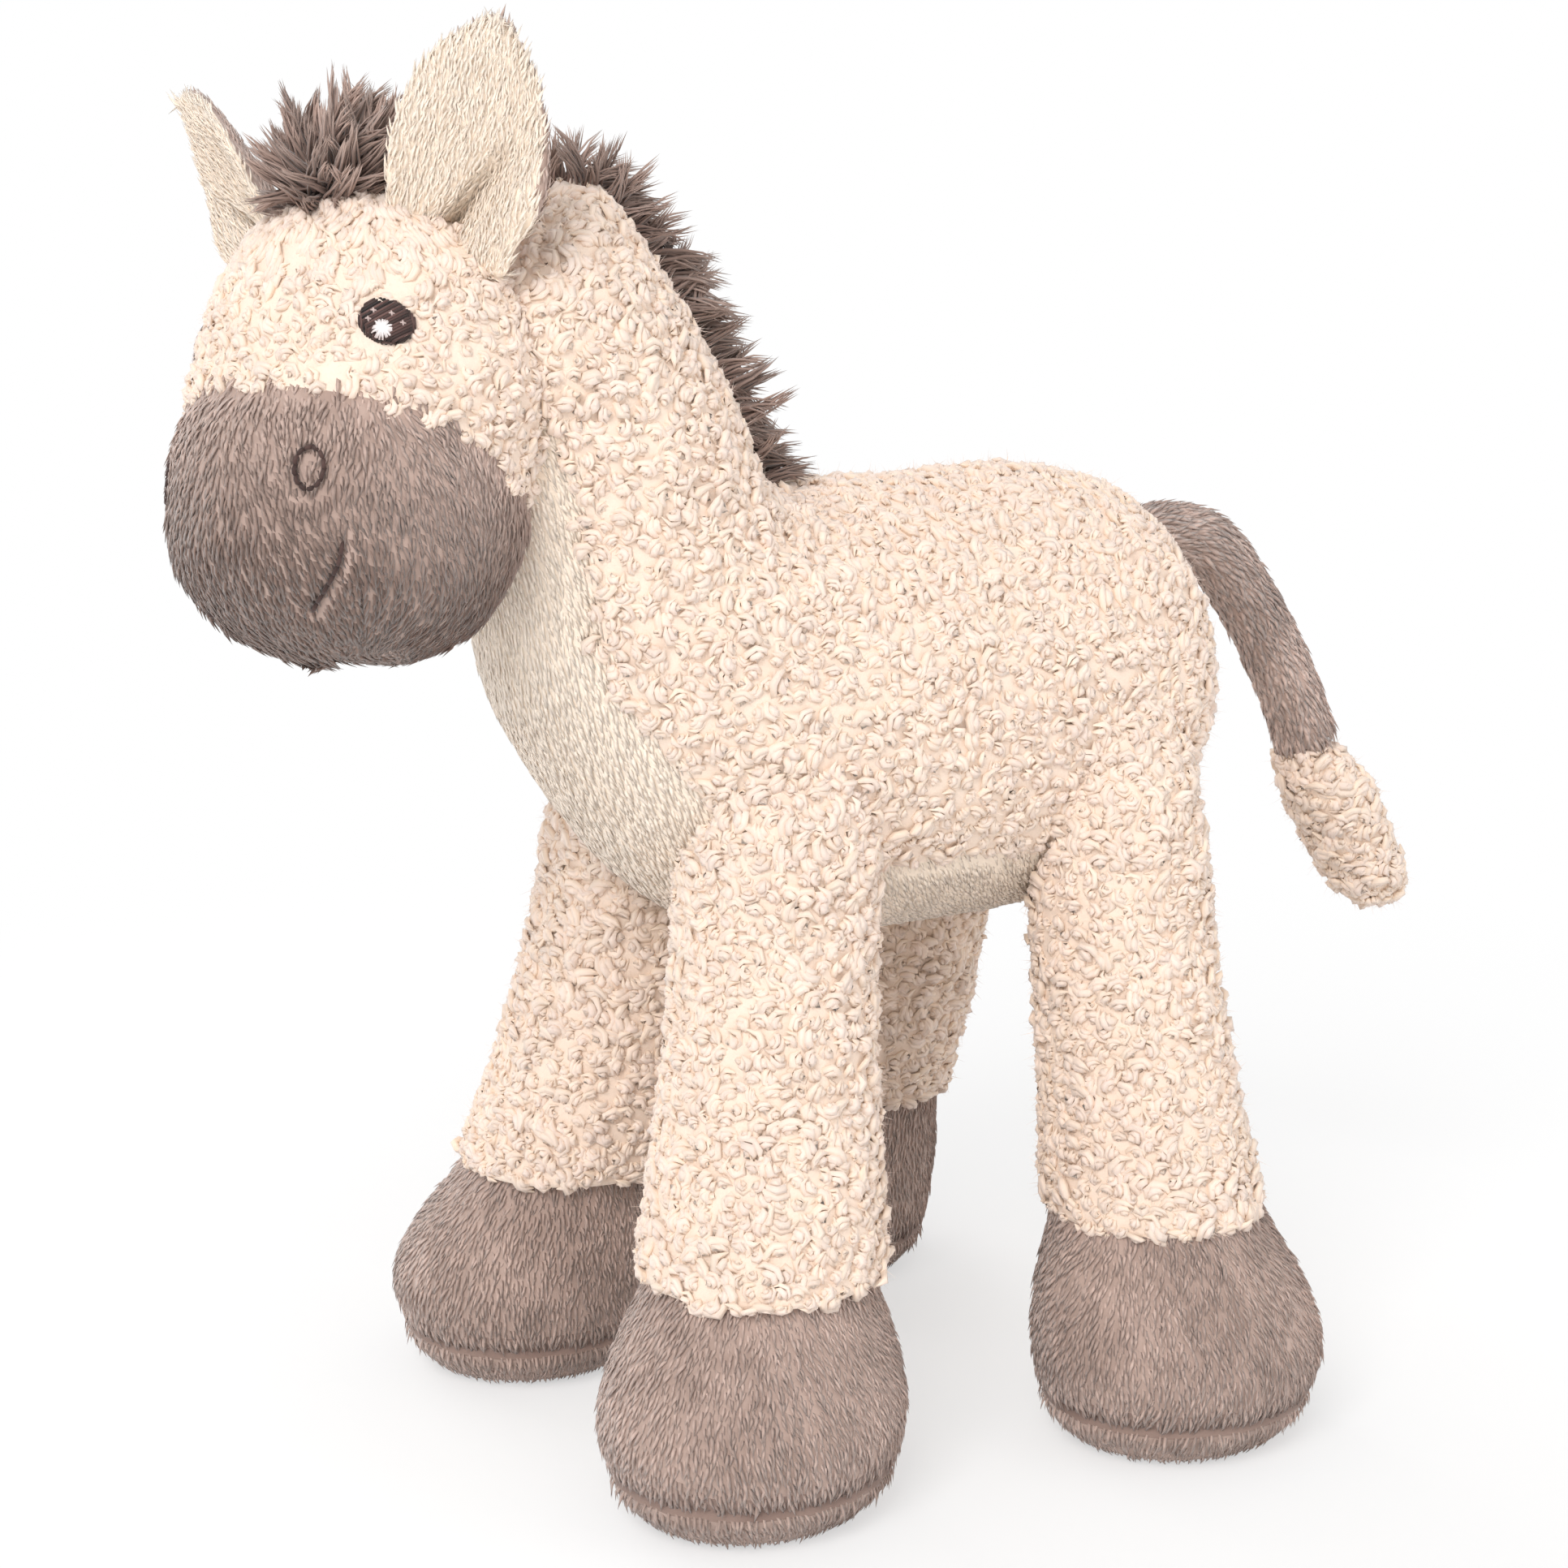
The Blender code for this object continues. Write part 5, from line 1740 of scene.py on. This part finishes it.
@dataclass
class Ear:
    """One ear: a cream lining and a taupe back, folded once near its base.

    A row holds a place along the length, a half width and a share of the cup's depth.

    Args:
        name: Its name.
        side: 1 on the left, -1 on the right.
    """

    name: str
    side: int
    length: float = 0.0448
    half_width: float = 0.014
    cup: float = 0.006
    wall: float = 0.00215
    lean: float = math.radians(33)
    forward: float = math.radians(8)
    facing: float = math.radians(26)
    fold: float = 5.2 * MILLIMETRE
    flap: float = 3.6 * MILLIMETRE
    lobe: float = 6.5 * MILLIMETRE
    rolled: float = 2.2 * MILLIMETRE
    base: tuple[float, float, float] = (0.0235, -0.081, 0.2375)
    rows: tuple[Row, ...] = (
        (0.0, 0.62, 1.5),
        (0.14, 0.80, 1.25),
        (0.32, 0.96, 1.0),
        (0.50, 1.0, 0.8),
        (0.68, 0.90, 0.6),
        (0.84, 0.64, 0.4),
        (0.95, 0.32, 0.2),
        (1.0, 0.0, 0.1),
    )

    def make(self, shop: Workshop, head: Head) -> None:
        """Build the padded leaf and the nap of its two faces.

        Args:
            shop: The workshop.
            head: The head that it is sewn to.
        """
        stand = (
            Matrix.Rotation(self.side * self.lean, 4, "Y")
            @ Matrix.Rotation(self.forward, 4, "X")
            @ Matrix.Rotation(self.side * self.facing, 4, "Z")
        )
        base = Matrix.Translation((self.side * self.base[0], self.base[1], self.base[2]))
        frame = head.frame(shop) @ base @ stand
        turn = np.array(frame.to_3x3())
        table = np.array(self.rows)
        rings = [
            ((0, self.wall, s * self.length - self.cup), (w * self.half_width, 0, 0), (0, self.wall, 0))
            for s, w, _ in self.rows
        ]

        crease: list[np.ndarray] = []
        rim: list[np.ndarray] = []

        def bend(points: np.ndarray, angles: np.ndarray) -> np.ndarray:
            """Cup the leaf, fold it once and put it on the head."""
            share = (points[:, 2] + self.cup) / self.length
            wide = np.interp(share, table[:, 0], table[:, 1])
            cup = np.interp(share, table[:, 0], table[:, 2])
            across = points[:, 0] / self.half_width
            out = across * self.side
            low = held(1 - share / 0.65)
            middle = -0.32 + 1.5 * share
            crease.append(ridge(out - middle, 0.13) * low**0.8)
            front = held(0.5 + np.cos(angles))
            fold = self.fold * crease[0]
            swell = ridge(out - middle - 0.5, 0.32)
            swell = swell + 0.6 * ridge(out - middle + 0.4, 0.3)
            flap = self.flap * swell * np.sqrt(low) * front
            bent = points.copy()
            bent[:, 2] += self.lobe * held(out) ** 2 * held(1 - share / 0.35)
            bent[:, 1] += -self.cup * cup * across**2 / np.maximum(wide, 0.3) + fold - flap
            bent[:, 0] *= 1 + 0.22 * held(out) * low
            rim.append(held(out) ** 3 * window(share, 0.35, 0.97, 0.2))
            bent[:, 0] += self.side * self.rolled * rim[0] * (1 - front)
            return bent @ turn.T + np.array(frame.translation)

        stations = [0.0, 0.1, *np.linspace(0.3, 6.6, 34), 6.8, 6.93, 7.0]
        leaf = Loft(rings, Matrix())
        skin = Skin.wrap(f"ear_cloth_{self.name}", leaf, stations, 64, 0.0, bend)
        facing = np.cos(skin.angles) - 0.55 * rim[0]
        front = held(0.5 + (facing + 0.2) / 0.1)
        rear = held(0.5 - (facing + 0.45) / 0.2)
        nodes = (f"ear_lining_{self.name}", f"ear_back_{self.name}")
        body = f"ear_{self.name}"
        shop.cloth(skin, "taupe_nap", body, nodes, "cream_nap", front)
        nap = skin.lay(turn @ np.array((0.0, 0.0, 1.0)))
        fluff = front * held(1.4 - crease[0] * 1.1)
        # The front nap's shade is painted shade in the fold's crease.
        for title, rule, mask, size, seed, shade in (
            ("ear_front_nap", EAR_RULE, fluff, 0.9, 201, crease[0]),
            ("ear_back_nap", TAUPE_RULE, rear, 0.8, 211, 0.0),
        ):
            name = f"{title}_{self.name}"
            shop.machine.grow(name, skin, rule, mask, nap, size, seed + self.side, body, shade)


@dataclass(frozen=True)
class Leg:
    """One leg: curled sleeve, smooth hoof and sole.

    A row holds a height, a way from hip to foot and one or two half widths, each as a share.

    Args:
        name: Its name.
        hip: Where it leaves the trunk on the floor plan.
        foot: Where its hoof stands.
        radius: The sleeve's radius.
    """

    name: str
    hip: tuple[float, float]
    foot: tuple[float, float]
    radius: float
    height: float = 0.125
    hoof_half_width: float = 0.028
    hoof_half_length: float = 0.0305
    hoof_height: float = 0.048
    sleeve_rows: tuple[Row, ...] = (
        (1.30, -0.62, 0.0),
        (1.26, -0.50, 0.40),
        (1.16, -0.28, 0.66),
        (1.06, -0.12, 0.77),
        (0.95, 0.0, 0.81),
        (0.82, 0.10, 0.82),
        (0.68, 0.24, 0.85),
        (0.54, 0.40, 0.91),
        (0.42, 0.56, 0.98),
        (0.37, 0.64, 1.0),
        (0.365, 0.64, 0.90),
        (0.40, 0.60, 0.0),
    )
    hoof_rows: tuple[Row, ...] = (
        (1.10, 0.60, 0.0, 0.0),
        (1.08, 0.60, 0.60, 0.56),
        (1.0, 0.64, 0.73, 0.68),
        (0.86, 0.74, 0.80, 0.77),
        (0.64, 0.89, 0.93, 0.92),
        (0.42, 1.0, 1.0, 1.0),
        (0.205, 1.0, 0.95, 0.95),
        (0.10, 1.0, 0.86, 0.87),
        (0.03, 1.0, 0.73, 0.75),
        (0.004, 1.0, 0.55, 0.57),
        (0.004, 1.0, 0.0, 0.0),
    )
    sole_row: float = 6.0
    sleeve_sink: float = 0.0001
    buried_depth: float = 0.0034
    hoof_sink: float = 0.0006
    sole_groove: float = 0.0013
    pucker_depth: float = 0.0005

    def ring(self, height: float, way: float, wide: float, long: float) -> tuple:
        """A level ring on the line from hip to foot."""
        x = self.hip[0] + (self.foot[0] - self.hip[0]) * way
        y = self.hip[1] + (self.foot[1] - self.hip[1]) * way
        return ((x, y, height), (wide, 0, 0), (0, long, 0))

    def make(self, shop: Workshop, trunk: Skin, seed: int) -> None:
        """Build the sleeve, its fleece, the hoof and its nap.

        Args:
            shop: The workshop.
            trunk: The trunk's skin.
            seed: Seed of the piles.
        """
        body = f"leg_{self.name}"
        rings = [
            self.ring(h * self.height, way, r * self.radius, r * self.radius)
            for h, way, r in self.sleeve_rows
        ]
        last = len(rings) - 1
        sleeve = Loft(rings, shop.upright)
        stations = [0.0, 0.2, 0.5, *np.linspace(0.9, 8.7, 44), 9.0, 9.4, 9.8, 10.4, last]
        skin = Skin.wrap(f"sleeve_cloth_{self.name}", sleeve, stations, 56, -self.sleeve_sink)
        shop.cloth(skin, "curl", body, (f"sleeve_{self.name}",))
        down = skin.lay(np.array((0.0, 0.0, -1.0)))
        buried = held(1.5 - depth_inside(skin.points, trunk.tree()) / self.buried_depth)
        mask = buried * window(skin.places, 0.2, 9.6, 0.4)
        size = 1.0 + 0.15 * ripple(skin.points, 40.0, 7.0)
        title = f"fleece_{self.name}"
        shop.machine.grow(title, skin, LEG_CURL_RULE, mask, down, size, seed, body)
        rings = [
            self.ring(h * self.hoof_height, way, w * self.hoof_half_width, n * self.hoof_half_length)
            for h, way, w, n in self.hoof_rows
        ]
        hoof = Loft(rings, shop.upright)

        def rise(places: np.ndarray, angles: np.ndarray) -> np.ndarray:
            """Sunk at the sole seam, puckered at hem and seam, flat under the sole."""
            seam = ridge(places - self.sole_row, 0.10)
            pucker = np.sin(angles * 17 + 2.2 * np.sin(angles * 3)) * 0.5 + 0.5
            near = ridge(places - self.sole_row, 0.5) + ridge(places - 2.0, 0.7)
            flat = held((8.0 - places) / 0.5)
            sunk = -self.hoof_sink - self.sole_groove * seam
            return (sunk - self.pucker_depth * pucker * near) * flat

        stations = [0.0, 0.5, *np.linspace(1.0, 9.0, 58), 9.5, 10.0]
        skin = Skin.wrap(f"hoof_cloth_{self.name}", hoof, stations, 64, rise)
        skin.points[:, 2] = np.maximum(skin.points[:, 2], 0.0)
        gap = np.abs(skin.places - self.sole_row)
        nodes = (f"hoof_{self.name}", f"sole_{self.name}")
        # Painted shadow: the cloth in the sole seam's crease takes the dark long hair finish.
        shadow = held(1 - np.abs(gap - 0.14) / 0.4)
        shop.cloth(skin, "taupe_nap", body, nodes, "long_hair", shadow)
        under = np.array(shop.upright @ Vector((*self.foot, 0.0))) - skin.points
        lie = held((8.4 - skin.places) / 0.8)[:, None]
        flow = np.array((0.0, 0.0, -1.0)) + 0.35 * swirl(skin.points, 50.0, (2.0, 3.0, 0.0))
        nap = skin.lay(flow * lie + unit(under) * (1 - lie))
        mask = window(skin.places, 1.3, 8.3, 0.3) * held((gap - 0.03) / 0.06)
        mottle = np.clip(0.2 + 0.5 * ripple(skin.points, 62.0, 4.0), 0, 0.8)
        # The hoof nap's shade is painted shadow along the sole seam's crease, with random darker mottle over
        # the hoof.
        seam = np.maximum(ridge(skin.places - self.sole_row + 0.12, 0.16), mottle)
        size = 0.95 - 0.4 * held((skin.places - 6.3) / 1.8)
        title = f"hoof_nap_{self.name}"
        shop.machine.grow(title, skin, TAUPE_RULE, mask, nap, size, seed + 1, body, seam)


@dataclass
class Tail:
    """The tail: a smooth tube and a curled tuft."""

    radius: float = 0.0068
    length: float = 0.055
    root_y: float = 0.0845
    root_z: float = 0.171
    tuft_radius: float = 0.0098
    tuft_length: float = 0.041
    rows: tuple[Row, ...] = (
        (-0.16, 0.02, 0.72),
        (0.12, 0.065, 0.85),
        (0.37, 0.0, 1.0),
        (0.60, -0.26, 1.02),
        (0.79, -0.56, 1.03),
        (0.92, -0.84, 1.05),
    )
    tuft_rows: tuple[Row, ...] = (
        (0.0, 0.0, 0.0),
        (0.03, -0.06, 0.66),
        (0.13, -0.24, 1.0),
        (0.28, -0.50, 1.03),
        (0.43, -0.76, 0.97),
        (0.53, -0.94, 0.70),
        (0.56, -1.0, 0.0),
    )

    def make(self, shop: Workshop) -> None:
        """Build the tube with its nap and the tuft with its curls.

        Args:
            shop: The workshop.
        """
        rings = []
        for i, (y, z, r) in enumerate(self.rows):
            before = self.rows[max(i - 1, 0)]
            after = self.rows[min(i + 1, len(self.rows) - 1)]
            along = Vector((0, after[0] - before[0], after[1] - before[1])).normalized()
            deep = along.cross(Vector((1, 0, 0))) * r * self.radius
            centre = (0, self.root_y + y * self.length, self.root_z + z * self.length)
            rings.append((centre, (r * self.radius, 0, 0), tuple(deep)))
        tube = Loft(rings, shop.upright, False)
        stations = [0.0, 0.02, *np.linspace(0.1, 4.9, 40), 4.98, 5.0]
        skin = Skin.wrap("tail_cloth", tube, stations, 32, -0.0005)
        shop.cloth(skin, "taupe_nap", "tail", ("tail_cover",))
        nap = skin.lay(skin.along)
        shop.machine.grow("tail_nap", skin, TAUPE_RULE, 1.0, nap, 1.25, 81, "tail")
        end = rings[-1][0]
        rings = []
        for y, z, r in self.tuft_rows:
            centre = (0, end[1] + y * self.tuft_length, end[2] + z * self.tuft_length)
            rings.append((centre, (r * self.tuft_radius, 0, 0), (0, -r * self.tuft_radius, 0)))
        tuft = Loft(rings, shop.upright)
        stations = [0.0, 0.2, 0.5, *np.linspace(0.8, 5.3, 28), 5.6, 5.85, 6.0]
        skin = Skin.wrap("tuft_cloth", tuft, stations, 36, -0.0006)
        shop.cloth(skin, "curl", "tail", ("tail_tuft",))
        nap = skin.lay(skin.along)
        shop.machine.grow("tuft_curls", skin, LEG_CURL_RULE, 1.0, nap, 1.1, 91, "tail")


class Studio:
    """The pale floor, the soft light and the camera. A lamp has a name, a place, a width and a power."""

    lamps = (
        ("key", (0.95, -1.1, 1.3), 0.9, 19.5),
        ("far", (-1.3, -0.35, 0.9), 1.1, 6.5),
        ("fill", (1.2, 0.9, 0.7), 1.2, 4.0),
    )

    @staticmethod
    def floor() -> None:
        """A wide pale floor that shows white to the camera."""
        half = 3.0
        mesh = bpy.data.meshes.new("floor")
        corners = [(-half, -half, 0), (half, -half, 0), (half, half, 0), (-half, half, 0)]
        mesh.from_pydata(corners, [], [(0, 1, 2, 3)])
        made = show("floor", mesh)
        paint = bpy.data.materials.new("pale_floor")
        paint.use_nodes = True
        graph = Graph(paint.node_tree)
        shader = paint.node_tree.nodes["Principled BSDF"]
        shader.inputs["Base Color"].default_value = (0.93, 0.93, 0.93, 1.0)
        shader.inputs["Roughness"].default_value = 0.9
        shader.inputs["Specular IOR Level"].default_value = 0.1
        place = graph.out(graph.add("ShaderNodeTexCoord"), "Object")
        away = graph.tree.nodes.new("ShaderNodeVectorMath")
        away.operation = "LENGTH"
        graph.join(place, away.inputs[0])
        far = graph.add(
            "ShaderNodeMapRange",
            {
                "Value": graph.out(away, "Value"),
                "From Min": 0.12,
                "From Max": 0.45,
                "To Min": 0.55,
                "To Max": 1.0,
            },
        )
        rays = graph.add("ShaderNodeLightPath")
        share = graph.math("MULTIPLY", graph.out(far, "Result"), graph.out(rays, "Is Camera Ray"))
        white = graph.add("ShaderNodeEmission", {"Color": (1.0, 1.0, 1.0, 1.0), "Strength": 1.0})
        both = graph.tree.nodes.new("ShaderNodeMixShader")
        graph.join(share, both.inputs[0])
        graph.join(shader, both.inputs[1])
        graph.join(white, both.inputs[2])
        graph.join(both, paint.node_tree.nodes["Material Output"].inputs["Surface"])
        mesh.materials.append(paint)
        made.location.z = -0.0002

    @staticmethod
    def world() -> None:
        """A white surround for the camera and an even soft light for the horse."""
        world = bpy.data.worlds.new("studio")
        bpy.context.scene.world = world
        world.use_nodes = True
        graph = Graph(world.node_tree)
        ground = world.node_tree.nodes["Background"]
        ground.inputs["Color"].default_value = (1.0, 1.0, 1.0, 1.0)
        rays = graph.add("ShaderNodeLightPath")
        seen = graph.math("MAXIMUM", graph.out(rays, "Is Camera Ray"), graph.out(rays, "Is Glossy Ray"))
        glow = graph.add("ShaderNodeMapRange", {"Value": seen, "To Min": 0.66, "To Max": 1.0})
        graph.join(graph.out(glow, "Result"), ground.inputs["Strength"])

    @staticmethod
    def lamp(name: str, place: tuple[float, float, float], size: float, power: float) -> None:
        """A square soft box that looks at the horse.

        Args:
            name: Its name.
            place: Where it hangs.
            size: Its width in metres.
            power: Its power in watts.
        """
        data = bpy.data.lights.new(name, "AREA")
        data.shape = "SQUARE"
        data.size = size
        data.energy = power
        made = show(name, data)
        made.location = place
        aim = Vector((0, -STAND_Y, 0.13)) - Vector(place)
        made.rotation_euler = aim.to_track_quat("-Z", "Y").to_euler()

    @staticmethod
    def camera() -> None:
        """The camera at the photograph's angle."""
        azimuth = math.radians(60)
        elevation = math.radians(12.5)
        distance = 0.6
        view_width = 0.317
        target = Vector((0, -STAND_Y, 0.129))
        back = Vector(
            (
                math.sin(azimuth) * math.cos(elevation),
                -math.cos(azimuth) * math.cos(elevation),
                math.sin(elevation),
            )
        )
        data = bpy.data.cameras.new("camera")
        data.sensor_width = 36.0
        data.sensor_fit = "HORIZONTAL"
        data.lens = data.sensor_width * distance / view_width
        data.clip_start = 0.01
        made = show("camera", data)
        made.location = target + back * distance
        made.rotation_euler = (-back).to_track_quat("-Z", "Y").to_euler()
        bpy.context.scene.camera = made

    def build(self) -> None:
        """Set up everything round the horse."""
        self.floor()
        self.world()
        for lamp in self.lamps:
            self.lamp(*lamp)
        self.camera()
        bpy.context.scene.view_settings.view_transform = "Standard"


LEGS = (
    Leg("front_left", (0.028, -0.018), (0.046, -0.0335), 0.0235),
    Leg("front_right", (-0.028, -0.018), (-0.042, -0.038), 0.0235),
    Leg("hind_left", (0.034, 0.058), (0.058, 0.0585), 0.0217),
    Leg("hind_right", (-0.034, 0.058), (-0.058, 0.039), 0.0217),
)


def main() -> None:
    """Load the frame and dress the horse."""
    logging.basicConfig(level=logging.INFO, format="%(name)s %(message)s")
    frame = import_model()
    shop = Workshop()
    for name, node in frame["nodes"].items():
        if "filling" in name:
            node.data.materials.clear()
            node.data.materials.append(shop.dyes.material("fibre", Cover.CLOTH))
    trunk = Trunk().make(shop)
    head = Head()
    head.make(shop, trunk)
    for name, side in SIDES:
        Ear(name, side).make(shop, head)
    for number, leg in enumerate(LEGS):
        leg.make(shop, trunk, 100 + 10 * number)
    Tail().make(shop)
    shop.templates.clear()
    Studio().build()


if __name__ == "__main__":
    main()
